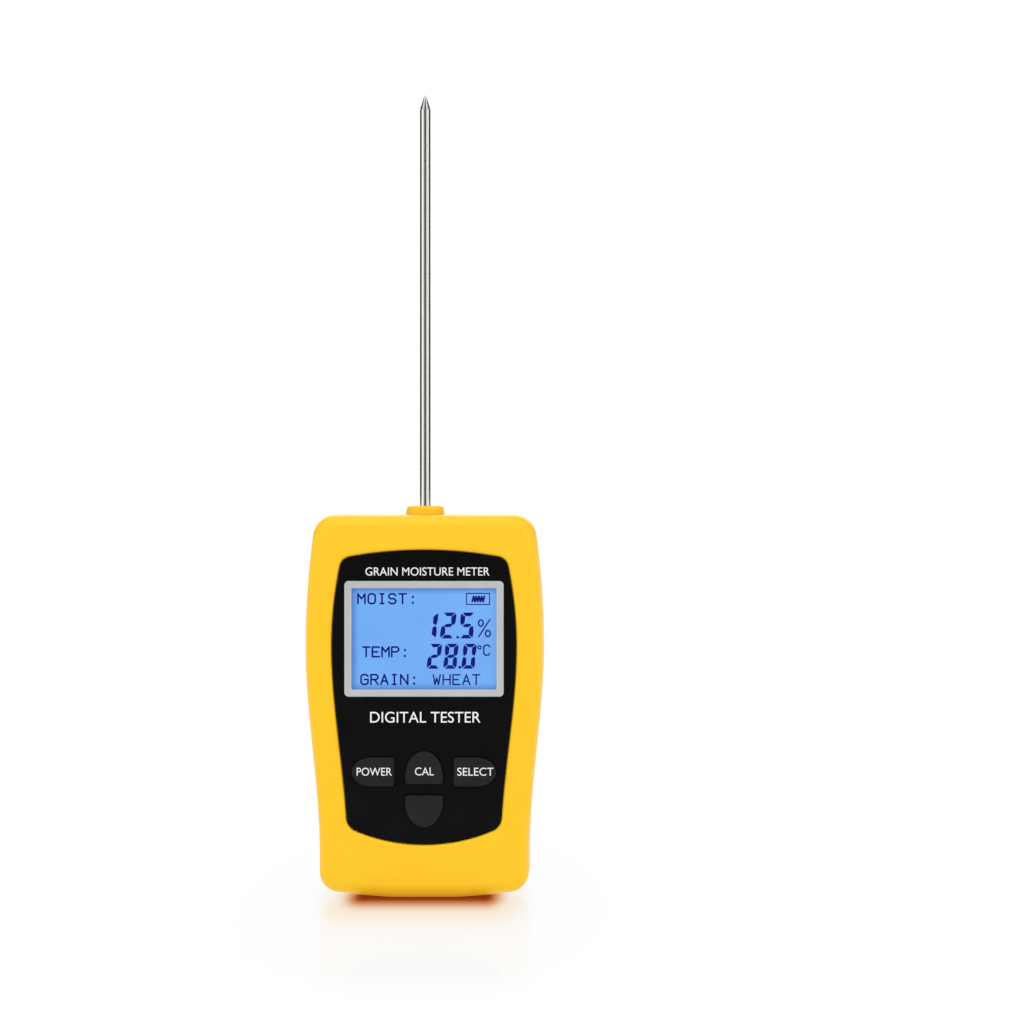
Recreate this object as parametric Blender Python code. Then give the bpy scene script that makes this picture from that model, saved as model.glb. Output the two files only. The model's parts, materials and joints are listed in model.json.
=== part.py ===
"""Handheld grain moisture meter with a steel probe, standing upright on its base.

Frame: metres, +Z up the probe, +X to the right of someone reading the display, -Y out of the display.
The origin is the centre of the base. Every size below is written in millimetres times MM.
"""

import math

import bmesh
import bpy
from mathutils import Matrix, Vector

MM = 0.001
GAP = 0.3 * MM  # clearance kept between pieces that touch

# ---- driving dimensions -------------------------------------------------------------------------
BODY_HEIGHT = 143.2 * MM
BODY_DEPTH = 34.0 * MM
BODY_WIDEST = 45.0 * MM  # half widths of the case, seen from the front
BODY_FOOT = 39.65 * MM
BODY_SHOULDER = 42.35 * MM
WAIST_LOW, WAIST_HIGH = 16.0 * MM, 94.0 * MM  # between these heights the sides swell out
SHOULDER_Z = 134.0 * MM
BASE_ARC = 250.0 * MM  # the lower end is a shallow arc, cut level where it stands
BASE_FLAT = 12.0 * MM
TOP_CORNER, BOTTOM_CORNER = 9.0 * MM, 8.0 * MM
EDGE_RADIUS = 5.0 * MM
DRAFT = 0.5 * MM
WALL = 2.2 * MM
FRONT_CROWN = 1.6 * MM  # how far the front face falls back at its widest

FRONT_Y, BACK_Y = -BODY_DEPTH / 2, BODY_DEPTH / 2
PARTING_Y = 2.0 * MM  # plane between the case halves, which holds the probe's axis

FASCIA_LOW, FASCIA_HIGH = 20.0 * MM, 129.7 * MM
FASCIA_WIDEST, FASCIA_FOOT, FASCIA_SHOULDER = 34.35 * MM, 28.45 * MM, 31.45 * MM
FASCIA_LOW_ARC, FASCIA_HIGH_ARC = 66.0 * MM, 155.0 * MM
FASCIA_LOW_CORNER, FASCIA_HIGH_CORNER = 5.5 * MM, 4.5 * MM
FASCIA_FRONT = -15.2 * MM
FASCIA_THICK = 1.6 * MM
RIM_RADIUS = 1.3 * MM

DISPLAY_Z = 96.65 * MM
VIEW_SIZE = (54.0 * MM, 37.7 * MM)
BEZEL_SIZE = (59.5 * MM, 43.2 * MM)
BEZEL_PROUD, BEZEL_CORNER = 0.7 * MM, 1.6 * MM
LCD_SIZE = (61.0 * MM, 45.0 * MM)
LENS_THICK = 1.0 * MM

BOARD_HALF_WIDTH, BOARD_LOW, BOARD_HIGH = 33.0 * MM, 17.0 * MM, 122.5 * MM
BOARD_FRONT, BOARD_BACK = -4.6 * MM, -3.0 * MM
BOARD_POSTS = ((-29.0 * MM, 66.0 * MM), (29.0 * MM, 66.0 * MM))  # x and z of the posts for its screws
HEAT_STAKES = ((-29.0 * MM, 21.0 * MM), (29.0 * MM, 21.0 * MM))  # pins melted over its lower corners
CASE_POSTS = (
    (-36.2 * MM, 126.0 * MM),
    (36.2 * MM, 126.0 * MM),
    (-31.0 * MM, 10.5 * MM),
    (31.0 * MM, 10.5 * MM),
)
POST_RADIUS, POST_BORE = 3.2 * MM, 1.45 * MM  # posts in the front half that take the case screws
SLEEVE_RADIUS, SHANK_HOLE, HEAD_HOLE = 3.9 * MM, 1.75 * MM, 3.05 * MM  # sleeves in the rear half round them
STAKE_RADIUS, PIN_RADIUS, PIN_HEAD = 2.6 * MM, 1.1 * MM, 2.1 * MM
BOARD_POST_RADIUS, BOARD_POST_BORE = 2.6 * MM, 1.25 * MM
# head radius, head height, shank radius, length below the head
CASE_SCREW = (2.75 * MM, 2.2 * MM, 1.25 * MM, 22.0 * MM)
BOARD_SCREW = (2.2 * MM, 1.4 * MM, 1.0 * MM, 6.4 * MM)

# name: centre x, centre z, half width across, length, direction that the round end points
KEYS = {
    "power_key": (-19.0 * MM, 47.0 * MM, 5.45 * MM, 16.0 * MM, "left"),
    "cal_key": (0.0, 48.6 * MM, 7.1 * MM, 12.4 * MM, "up"),
    "select_key": (19.0 * MM, 47.0 * MM, 5.45 * MM, 16.0 * MM, "right"),
    "lower_key": (0.0, 32.3 * MM, 7.1 * MM, 12.0 * MM, "down"),
}
KEY_TRAVEL = 1.2 * MM  # sets the room under each key; the joints use the same value
KEY_TOP = -16.9 * MM
KEY_CORNER = 1.1 * MM
KEY_ARCH = 1.35  # how much longer than a half circle a key's round end is
KEY_FLANGE = 1.0 * MM

CELL_RADIUS, CELL_LENGTH = 7.1 * MM, 49.0 * MM
CELL_X = 7.45 * MM
CELL_Y = 8.0 * MM
LEFT_CELL_LOW, RIGHT_CELL_LOW = 26.5 * MM, 22.4 * MM
NUB_RADIUS, NUB_LENGTH = 2.7 * MM, 1.2 * MM
CONTACT_THICK = 0.4 * MM
BAY_HALF_WIDTH, BAY_LOW, BAY_HIGH = 15.4 * MM, 19.5 * MM, 78.5 * MM
BAY_FLOOR = 0.6 * MM
TRAY_WALL = 1.5 * MM
COVER_HALF_WIDTH, COVER_LOW, COVER_HIGH = 17.3 * MM, 17.5 * MM, 81.4 * MM
COVER_THICK, COVER_CORNER = 1.7 * MM, 2.0 * MM
HOOK_X, HOOK_HALF_WIDTH = 9.0 * MM, 3.0 * MM
HINGE_Y, HINGE_Z = BACK_Y - 0.1 * MM, COVER_LOW

PROBE_RADIUS = 2.05 * MM
PROBE_TIP_Z = 302.0 * MM
TUBE_BORE = 1.55 * MM
TIP_LENGTH = 5.6 * MM
TIP_SPIGOT = 1.4 * MM
TUBE_LOW = BODY_HEIGHT - 17.0 * MM
COLLAR_TOP = BODY_HEIGHT + 3.1 * MM
COLLAR_RADIUS = 7.3 * MM
COLLAR_FLANGE, COLLAR_BORE = 9.0 * MM, 3.3 * MM

FLOOR_FRONT = FASCIA_FRONT + FASCIA_THICK + GAP  # the case's own wall behind the fascia
FLOOR_BACK = FLOOR_FRONT + 2.0 * MM
LCD_FRONT = FLOOR_BACK + GAP
LCD_BACK = LCD_FRONT + 2.2 * MM
POST_END = BOARD_FRONT - GAP
COMPONENT_BASE = BOARD_BACK + 0.15 * MM  # the front of parts soldered to the board's back
CAP_STEPS = 4  # facets in an edge fillet

# ---- materials ----------------------------------------------------------------------------------
FINISHES = {  # colour, roughness, metallic
    "yellow_case": ((0.98, 0.58, 0.03, 1), 0.38, 0),
    "black_fascia": ((0.008, 0.008, 0.009, 1), 0.3, 0),
    "silver_bezel": ((0.5, 0.52, 0.55, 1), 0.4, 0.3),
    "clear_lens": ((0.9, 0.95, 1, 0.3), 0.05, 0),
    "lcd_cell": ((0.16, 0.37, 0.82, 1), 0.2, 0),
    "light_guide": ((0.8, 0.9, 1, 1), 0.3, 0),
    "white_moulding": ((0.8, 0.8, 0.78, 1), 0.5, 0),
    "grey_key": ((0.022, 0.022, 0.024, 1), 0.55, 0),
    "black_rubber": ((0.012, 0.012, 0.012, 1), 0.8, 0),
    "grey_silicone": ((0.35, 0.36, 0.37, 1), 0.7, 0),
    "carbon_pill": ((0.01, 0.01, 0.01, 1), 0.6, 0),
    "green_board": ((0.01, 0.12, 0.04, 1), 0.4, 0),
    "black_component": ((0.01, 0.01, 0.012, 1), 0.5, 0),
    "tin_part": ((0.6, 0.6, 0.62, 1), 0.35, 1),
    "probe_steel": ((0.62, 0.61, 0.58, 1), 0.16, 1),
    "spring_steel": ((0.6, 0.6, 0.6, 1), 0.25, 1),
    "screw_steel": ((0.45, 0.45, 0.46, 1), 0.3, 1),
    "brass": ((0.72, 0.5, 0.2, 1), 0.3, 1),
    "blue_cell_wrap": ((0.01, 0.12, 0.55, 1), 0.25, 0),
    "wire_insulation": ((0.5, 0.02, 0.02, 1), 0.5, 0),
}


def material(name):
    found = bpy.data.materials.get(name)
    if found:
        return found
    colour, roughness, metallic = FINISHES[name]
    made = bpy.data.materials.new(name)
    made.use_nodes = True
    shader = made.node_tree.nodes["Principled BSDF"]
    shader.inputs["Base Color"].default_value = colour
    shader.inputs["Roughness"].default_value = roughness
    shader.inputs["Metallic"].default_value = metallic
    return made


# ---- outlines in the front view: lists of (x, z) ------------------------------------------------
def smooth_step(value, low, high):
    t = min(max((value - low) / (high - low), 0.0), 1.0)
    return t * t * (3 - 2 * t)


def swell(z, foot, widest, shoulder, low, high, shoulder_z):
    """Half width at height z: an S from the foot out to the widest, then a parabola in to the shoulder."""
    if z <= high:
        return foot + (widest - foot) * smooth_step(z, low, high)
    return widest - (widest - shoulder) * ((z - high) / (shoulder_z - high)) ** 2


def body_half_width(z):
    return swell(z, BODY_FOOT, BODY_WIDEST, BODY_SHOULDER, WAIST_LOW, WAIST_HIGH, SHOULDER_Z)


def fascia_half_width(z):
    shoulder_z = FASCIA_HIGH - 7.2 * MM
    return swell(z, FASCIA_FOOT, FASCIA_WIDEST, FASCIA_SHOULDER, WAIST_LOW + 2 * MM, WAIST_HIGH, shoulder_z)


def side_normal(half_width, z):
    step = 0.05 * MM
    slope = (half_width(z + step) - half_width(z - step)) / (2 * step)
    return Vector((1.0, -slope)).normalized()


def corner_arc(half_width, edge_z, edge_radius, radius, up, steps):
    """Points of the fillet between an edge at edge_z, flat or an arc about x = 0, and the side.

    up is +1 at the top and -1 at the bottom. Returns the arc, from the edge to the side.
    """
    def centre_at(z):
        return Vector((half_width(z), z)) - side_normal(half_width, z) * radius

    def room(z):  # how far the fillet circle stays inside the edge
        centre = centre_at(z)
        if edge_radius is None:
            return (edge_z - centre.y) * up - radius
        return edge_radius - (centre - Vector((0, edge_z - up * edge_radius))).length - radius

    inside, outside = edge_z - up * 4 * radius, edge_z
    for _ in range(50):
        middle = (inside + outside) / 2
        if room(middle) > 0:
            inside = middle
        else:
            outside = middle
    centre = centre_at(inside)
    if edge_radius is None:
        start = math.pi / 2 * up
    else:
        out = centre - Vector((0, edge_z - up * edge_radius))
        start = math.atan2(out.y, out.x)
    normal = side_normal(half_width, inside)
    end = math.atan2(normal.y, normal.x)
    angles = [start + (end - start) * i / steps for i in range(steps + 1)]
    return [centre + Vector((math.cos(a), math.sin(a))) * radius for a in angles]


def edge_points(end, edge_z, edge_radius, up, steps):
    """Points along the bottom or top edge, from x = 0 up to the corner's first point."""
    points = []
    for i in range(steps):
        x = end.x * i / steps
        sag = 0.0 if edge_radius is None else edge_radius - math.sqrt(edge_radius**2 - x**2)
        points.append(Vector((x, edge_z - up * sag)))
    return points


def shield(half_width, low, high, low_corner, high_corner, low_arc=None, high_arc=None):
    """A closed outline, symmetric about x = 0, with as many points on each stretch whatever its size."""
    edge, corner, side = 5, 5, 12
    low_fillet = corner_arc(half_width, low, low_arc, low_corner, -1, corner)
    high_fillet = corner_arc(half_width, high, high_arc, high_corner, 1, corner)
    z_low, z_high = low_fillet[-1].y, high_fillet[-1].y
    right = edge_points(low_fillet[0], low, low_arc, -1, edge) + low_fillet
    for i in range(1, side):
        z = z_low + (z_high - z_low) * i / side
        right.append(Vector((half_width(z), z)))
    right += high_fillet[::-1] + edge_points(high_fillet[0], high, high_arc, 1, edge)[:0:-1]
    top = [Vector((0, high))]
    left = [Vector((-p.x, p.y)) for p in reversed(right[1:])]
    return right + top + left


def rounded_rectangle(width, height, radius, centre_z=0.0, centre_x=0.0, steps=4):
    points = []
    for quarter, (sx, sz) in enumerate(((1, -1), (1, 1), (-1, 1), (-1, -1))):
        corner = Vector((centre_x + sx * (width / 2 - radius), centre_z + sz * (height / 2 - radius)))
        for i in range(steps + 1):
            angle = math.radians(-90 + 90 * quarter + 90 * i / steps)
            points.append(corner + Vector((math.cos(angle), math.sin(angle))) * radius)
    return points


def circle(radius, steps, centre_x=0.0, centre_z=0.0):
    turn = [2 * math.pi * i / steps for i in range(steps)]
    return [Vector((centre_x + radius * math.cos(a), centre_z + radius * math.sin(a))) for a in turn]


def key_outline(half, length, direction, steps=10):
    """A key seen from the front, about its centre: one arched end, one straight end with small corners."""
    flat, arch_centre = -length / 2, length / 2 - half * KEY_ARCH
    points = []
    for i in range(steps + 1):
        angle = math.pi * i / steps
        points.append(Vector((half * math.cos(angle), arch_centre + half * KEY_ARCH * math.sin(angle))))
    for side, first in ((-1, 180), (1, 270)):
        centre = Vector((side * (half - KEY_CORNER), flat + KEY_CORNER))
        for i in range(4):
            angle = math.radians(first + 30 * i)
            points.append(centre + Vector((math.cos(angle), math.sin(angle))) * KEY_CORNER)
    turn = Matrix.Rotation(math.radians({"up": 0, "left": 90, "down": 180, "right": -90}[direction]), 2)
    return [turn @ p for p in points]


def inset(outline, distance, draft=0.0):
    """The outline moved inward by distance, or outward where distance is negative.

    draft moves it further in, except where it faces down, so that a drafted wall keeps a level base.
    """
    moved = []
    for i, point in enumerate(outline):
        along = outline[(i + 1) % len(outline)] - outline[i - 1]
        outward = Vector((along.y, -along.x)).normalized()
        moved.append(point - outward * (distance + draft * (1 + min(0.0, outward.y))))
    return moved


def crown(x):
    return FRONT_CROWN * (x / BODY_WIDEST) ** 2


def ring(outline, y, distance=0.0, crowned=False, draft=0.0):
    """A loop of 3-D points: the outline, moved inward by distance, at depth y."""
    return [Vector((p.x, y + (crown(p.x) if crowned else 0.0), p.y)) for p in inset(outline, distance, draft)]


# ---- mesh building ------------------------------------------------------------------------------
def add_rings(bm, rings, closed=False):
    """Joins each ring of points to the next. The two ends are capped, or joined where closed is set.

    A ring of one point is the tip of a cone.
    """
    loops = [[bm.verts.new(p) for p in points] for points in rings]
    pairs = list(zip(loops, loops[1:]))
    if closed:
        pairs.append((loops[-1], loops[0]))
    for first, second in pairs:
        count = max(len(first), len(second))
        for i in range(count):
            j = (i + 1) % count
            if len(first) == 1:
                bm.faces.new((first[0], second[j], second[i]))
            elif len(second) == 1:
                bm.faces.new((first[i], first[j], second[0]))
            else:
                bm.faces.new((first[i], first[j], second[j], second[i]))
    if not closed:
        for loop in (loops[0], loops[-1]):
            if len(loop) > 1:
                bm.faces.new(loop)


def add_turned(bm, profile, centre, axis="Z", steps=24, closed=False):
    """A turned solid. profile holds (radius, place along the axis).

    centre is where the axis lies in the other two directions.
    """
    rings = []
    for radius, along in profile:
        points = []
        for i in range(steps if radius > 0 else 1):
            angle = 2 * math.pi * i / steps
            a, b = centre[0] + radius * math.cos(angle), centre[1] + radius * math.sin(angle)
            points.append(Vector((a, b, along)) if axis == "Z" else Vector((a, along, b)))
        rings.append(points)
    add_rings(bm, rings, closed)


def add_box(bm, low, high):
    corners = [(low[0], low[2]), (high[0], low[2]), (high[0], high[2]), (low[0], high[2])]
    add_rings(bm, [[Vector((x, y, z)) for x, z in corners] for y in (low[1], high[1])])


def add_prism(bm, outline, y_front, y_back, distance=0.0):
    add_rings(bm, [ring(outline, y_front, distance), ring(outline, y_back, distance)])


def finish(name, bm, finish_name=None, smooth=35):
    """Makes an object of the mesh. With no finish it is a tool for a Boolean, which isn't rendered."""
    bmesh.ops.recalc_face_normals(bm, faces=bm.faces[:])
    mesh = bpy.data.meshes.new(name)
    bm.to_mesh(mesh)
    bm.free()
    mesh.shade_smooth()
    mesh.set_sharp_from_angle(angle=math.radians(smooth))
    made = bpy.data.objects.new(name, mesh)
    bpy.context.scene.collection.objects.link(made)
    if finish_name:
        mesh.materials.append(material(finish_name))
    else:
        made.hide_render = True
        made.display_type = "WIRE"
    return made


def boolean(target, operation, tool):
    modifier = target.modifiers.new(f"{operation.lower()} {tool.name}", "BOOLEAN")
    modifier.operation = operation
    modifier.solver = "EXACT"
    modifier.object = tool
    return target


def tube(name, points, radius, finish_name, sides=2):
    """A wire along a smooth curve through the points."""
    samples = []
    for i in range(len(points) - 1):
        p = [Vector(points[max(0, min(len(points) - 1, i + k))]) for k in (-1, 0, 1, 2)]
        for s in range(3):
            t = s / 3
            linear = (p[2] - p[0]) * t
            square = (2 * p[0] - 5 * p[1] + 4 * p[2] - p[3]) * t**2
            cube = (3 * p[1] - p[0] - 3 * p[2] + p[3]) * t**3
            samples.append(0.5 * (2 * p[1] + linear + square + cube))
    samples.append(Vector(points[-1]))
    return wire(name, samples, radius, finish_name, sides)


def wire(name, samples, radius, finish_name, sides=2):
    curve = bpy.data.curves.new(name, "CURVE")
    curve.dimensions = "3D"
    curve.bevel_depth = radius
    curve.bevel_resolution = sides
    curve.use_fill_caps = True
    spline = curve.splines.new("POLY")
    spline.points.add(len(samples) - 1)
    for point, place in zip(spline.points, samples):
        point.co = (*place, 1)
    curve.materials.append(material(finish_name))
    made = bpy.data.objects.new(name, curve)
    bpy.context.scene.collection.objects.link(made)
    return made


# ---- case ---------------------------------------------------------------------------------------
def body_outline():
    lowest = -(BASE_FLAT**2) / (2 * BASE_ARC)
    outline = shield(body_half_width, lowest, BODY_HEIGHT, BOTTOM_CORNER, TOP_CORNER, BASE_ARC)
    return [Vector((p.x, max(p.y, 0.0))) for p in outline]


def fascia_outline():
    return shield(fascia_half_width, FASCIA_LOW, FASCIA_HIGH, FASCIA_LOW_CORNER, FASCIA_HIGH_CORNER,
                  FASCIA_LOW_ARC, FASCIA_HIGH_ARC)


def fillet_rings(outline, y_face, side, crowned):
    """Rings round the case's outer edge, from the side wall to the face at y_face.

    side is +1 where the case is behind that face and -1 where it is in front.
    """
    rings = []
    for i in range(CAP_STEPS + 1):
        angle = math.pi / 2 * i / CAP_STEPS
        y = y_face + side * EDGE_RADIUS * (1 - math.sin(angle))
        rings.append(ring(outline, y, EDGE_RADIUS * (1 - math.cos(angle)), crowned, DRAFT))
    return rings


def rim_rings(outline):
    """Rings round the fascia's recess, from the front face over a rounded rim and down its wall."""
    rings = []
    for i in range(4):
        angle = math.pi / 2 * i / 3
        out = GAP + RIM_RADIUS * (1 - math.sin(angle))
        rings.append(ring(outline, FRONT_Y + RIM_RADIUS * (1 - math.cos(angle)), -out, True))
    rings.append(ring(outline, FLOOR_FRONT, -GAP))
    return rings


def above(height):
    """A height above the case's top wall, or below it where negative, in millimetres."""
    return BODY_HEIGHT + height * MM


def add_collar_seat(bm):
    """The room that the probe's collar takes in the top wall, with its flange below the wall."""
    bore, flange = COLLAR_RADIUS + GAP, COLLAR_FLANGE + 0.4 * MM
    profile = (
        (0, above(-7)),
        (flange, above(-7)),
        (flange, above(-2.4)),
        (bore, above(-2.4)),
        (bore, above(2)),
        (0, above(2)),
    )
    add_turned(bm, profile, (0, PARTING_Y), steps=32)


def front_case():
    body, fascia = body_outline(), fascia_outline()
    seam = PARTING_Y - GAP / 2
    wall_back = FRONT_Y + WALL
    outer = rim_rings(fascia)[::-1] + fillet_rings(body, FRONT_Y, 1, True)[::-1] + [ring(body, seam)]
    inner = [
        ring(body, seam, WALL),
        ring(body, FRONT_Y + 4.5 * MM, WALL, True, DRAFT),
        ring(body, wall_back, WALL + 2.6 * MM, True, DRAFT),
        ring(fascia, wall_back, -(GAP + WALL + 1.0 * MM), True),
        ring(fascia, FLOOR_BACK, -(GAP + WALL)),
    ]
    bm = bmesh.new()
    add_rings(bm, outer + inner)
    case = finish("front_case", bm, "yellow_case")

    bm = bmesh.new()
    for x, z in CASE_POSTS:
        root = FRONT_Y + 1.6 * MM + crown(x)
        bottom = -11 * MM
        add_turned(bm, ((0, root), (POST_RADIUS, root), (POST_RADIUS, seam), (POST_BORE, seam),
                        (POST_BORE, bottom), (0, bottom)), (x, z), "Y", 20)
    boolean(case, "UNION", finish("case_posts", bm))
    bm = bmesh.new()
    for x, z in BOARD_POSTS:
        root, bottom = FLOOR_BACK - 1.0 * MM, -10.6 * MM
        radius, bore = BOARD_POST_RADIUS, BOARD_POST_BORE
        add_turned(bm, ((0, root), (radius, root), (radius, POST_END), (bore, POST_END),
                        (bore, bottom), (0, bottom)), (x, z), "Y", 16)
    boolean(case, "UNION", finish("board_posts", bm))
    bm = bmesh.new()
    for x, z in HEAT_STAKES:
        root, head = FRONT_Y + 1.6 * MM + crown(x), BOARD_BACK + GAP
        add_turned(bm, ((0, root), (STAKE_RADIUS, root), (STAKE_RADIUS, POST_END), (PIN_RADIUS, POST_END),
                        (PIN_RADIUS, head), (PIN_HEAD, head), (PIN_HEAD - 0.4 * MM, head + 0.8 * MM),
                        (0, head + 1.0 * MM)), (x, z), "Y", 16)
    boolean(case, "UNION", finish("heat_stakes", bm))

    bm = bmesh.new()
    y_out, y_in = FLOOR_FRONT - 1 * MM, FLOOR_BACK + 1 * MM
    window = rounded_rectangle(VIEW_SIZE[0] + 3.3 * MM, VIEW_SIZE[1] + 3.4 * MM, 1.0 * MM, DISPLAY_Z)
    add_prism(bm, window, y_out, y_in)
    for x, z, half, length, direction in KEYS.values():
        hole = [p + Vector((x, z)) for p in key_outline(half, length, direction)]
        add_prism(bm, hole, y_out, y_in, -0.35 * MM)
    boolean(case, "DIFFERENCE", finish("floor_openings", bm))
    bm = bmesh.new()
    add_collar_seat(bm)
    boolean(case, "DIFFERENCE", finish("front_collar_seat", bm))
    return case


def rear_case():
    body = body_outline()
    seam = PARTING_Y + GAP / 2
    inside = BACK_Y - 2.0 * MM
    lip_out, lip_in = WALL + GAP, WALL + 1.3 * MM
    outer = fillet_rings(body, BACK_Y, -1, False)[::-1] + [ring(body, seam)]
    inner = [
        ring(body, seam, lip_out),
        ring(body, seam - 1.7 * MM, lip_out),
        ring(body, seam - 1.7 * MM, lip_in),
        ring(body, seam + 1.2 * MM, lip_in),
        ring(body, seam + 2.6 * MM, WALL + 0.1 * MM),
        ring(body, BACK_Y - 5.0 * MM, WALL, False, DRAFT),
        ring(body, inside, WALL + 3.0 * MM, False, DRAFT),
    ]
    bm = bmesh.new()
    add_rings(bm, outer + inner)
    case = finish("rear_case", bm, "yellow_case")

    bm = bmesh.new()  # tray round the cells, with a wider ledge that the cover rests on
    half, low, high = BAY_HALF_WIDTH + TRAY_WALL, BAY_LOW - TRAY_WALL, BAY_HIGH + TRAY_WALL
    add_box(bm, (-half, BAY_FLOOR - TRAY_WALL, low), (half, 16 * MM, high))
    boolean(case, "UNION", finish("cell_tray", bm))
    bm = bmesh.new()
    half, low, high = COVER_HALF_WIDTH + 2 * MM, COVER_LOW - 2 * MM, COVER_HIGH + 2 * MM
    add_box(bm, (-half, 13 * MM, low), (half, 16.1 * MM, high + 3 * MM))
    boolean(case, "UNION", finish("cover_ledge", bm))
    bm = bmesh.new()
    for x, z in CASE_POSTS:
        front, back = seam + 0.2 * MM, 16 * MM
        profile = ((0, front), (SLEEVE_RADIUS, front), (SLEEVE_RADIUS, back), (0, back))
        add_turned(bm, profile, (x, z), "Y", 20)
    boolean(case, "UNION", finish("screw_posts", bm))

    bm = bmesh.new()
    add_box(bm, (-BAY_HALF_WIDTH, BAY_FLOOR, BAY_LOW), (BAY_HALF_WIDTH, 18 * MM, BAY_HIGH))
    boolean(case, "DIFFERENCE", finish("cell_bay", bm))
    bm = bmesh.new()
    wide, tall = 2 * (COVER_HALF_WIDTH + GAP), COVER_HIGH - COVER_LOW + 2 * GAP
    recess = rounded_rectangle(wide, tall, COVER_CORNER + GAP, (COVER_LOW + COVER_HIGH) / 2)
    add_prism(bm, recess, BACK_Y - COVER_THICK - GAP, 18 * MM)
    boolean(case, "DIFFERENCE", finish("cover_recess", bm))
    bm = bmesh.new()
    notch = rounded_rectangle(11.6 * MM, 8 * MM, 2.0 * MM, COVER_HIGH)
    add_prism(bm, notch, 14.6 * MM, 18.2 * MM)
    boolean(case, "DIFFERENCE", finish("latch_notch", bm))
    bm = bmesh.new()
    for x in (-HOOK_X, HOOK_X):
        half = HOOK_HALF_WIDTH + GAP
        add_box(bm, (x - half, 12.2 * MM, 13.8 * MM), (x + half, 15.2 * MM, 20.5 * MM))
    boolean(case, "DIFFERENCE", finish("hook_slots", bm))
    bm = bmesh.new()
    for x in (-CELL_X, CELL_X):
        add_box(bm, (x - 1.8 * MM, 2.4 * MM, 16 * MM), (x + 1.8 * MM, 3.9 * MM, 20.5 * MM))
    boolean(case, "DIFFERENCE", finish("solder_tab_slots", bm))
    bm = bmesh.new()
    add_collar_seat(bm)
    boolean(case, "DIFFERENCE", finish("rear_collar_seat", bm))
    bm = bmesh.new()
    for x, z in CASE_POSTS:
        step, out = 13.4 * MM, BACK_Y + 1 * MM
        add_turned(bm, ((0, 0), (SHANK_HOLE, 0), (SHANK_HOLE, step), (HEAD_HOLE, step), (HEAD_HOLE, out),
                        (0, out)), (x, z), "Y", 20)
    boolean(case, "DIFFERENCE", finish("screw_holes", bm))
    return case


def screw(name, centre, y_head, head_radius, head_height, shank_radius, length):
    """A pan-head screw along Y whose head faces +Y, with its top at y_head and a cross recess in it."""
    under = y_head - head_height
    tip = under - length
    bm = bmesh.new()
    add_turned(bm, (
        (0, y_head),
        (head_radius * 0.55, y_head),
        (head_radius * 0.9, y_head - head_height * 0.35),
        (head_radius, under),
        (shank_radius, under),
        (shank_radius, tip + shank_radius),
        (0, tip),
    ), centre, "Y", 16)
    made = finish(name, bm, "screw_steel")
    arm, half = head_radius * 0.5, head_radius * 0.11
    quarter = [Vector((arm, -half)), Vector((arm, half)), Vector((half, half))]
    cross = []
    for i in range(4):
        turn = Matrix.Rotation(math.radians(90 * i), 2)
        cross += [turn @ p + Vector(centre) for p in quarter]
    bm = bmesh.new()
    add_prism(bm, cross, y_head - head_height * 0.5, y_head + 1 * MM)
    boolean(made, "DIFFERENCE", finish(name + "_recess", bm))


def screws():
    for i, post in enumerate(CASE_POSTS):
        screw(f"case_screw_{i + 1}", post, 15.9 * MM, *CASE_SCREW)
    for i, post in enumerate(BOARD_POSTS):
        screw(f"board_screw_{i + 1}", post, BOARD_BACK + 1.7 * MM, *BOARD_SCREW)


# ---- fascia and display -------------------------------------------------------------------------
def fascia():
    bm = bmesh.new()
    outline = fascia_outline()
    back = FASCIA_FRONT + FASCIA_THICK
    edge = 0.25 * MM
    front = FASCIA_FRONT
    add_rings(bm, [ring(outline, front, edge), ring(outline, front + edge), ring(outline, back)])
    plate = finish("fascia_plate", bm, "black_fascia")
    bm = bmesh.new()
    y_out, y_in = FASCIA_FRONT - 1 * MM, back + 1 * MM
    wide, tall = BEZEL_SIZE[0] + 2 * GAP, BEZEL_SIZE[1] + 2 * GAP
    opening = rounded_rectangle(wide, tall, BEZEL_CORNER + GAP, DISPLAY_Z)
    add_prism(bm, opening, y_out, y_in)
    for x, z, half, length, direction in KEYS.values():
        hole = [p + Vector((x, z)) for p in key_outline(half, length, direction)]
        add_prism(bm, hole, y_out, y_in, -GAP)
    return boolean(plate, "DIFFERENCE", finish("fascia_openings", bm))


def frame_ring(size, radius, y, grow=0.0):
    return ring(rounded_rectangle(size[0] + 2 * grow, size[1] + 2 * grow, radius, DISPLAY_Z), y)


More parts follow.
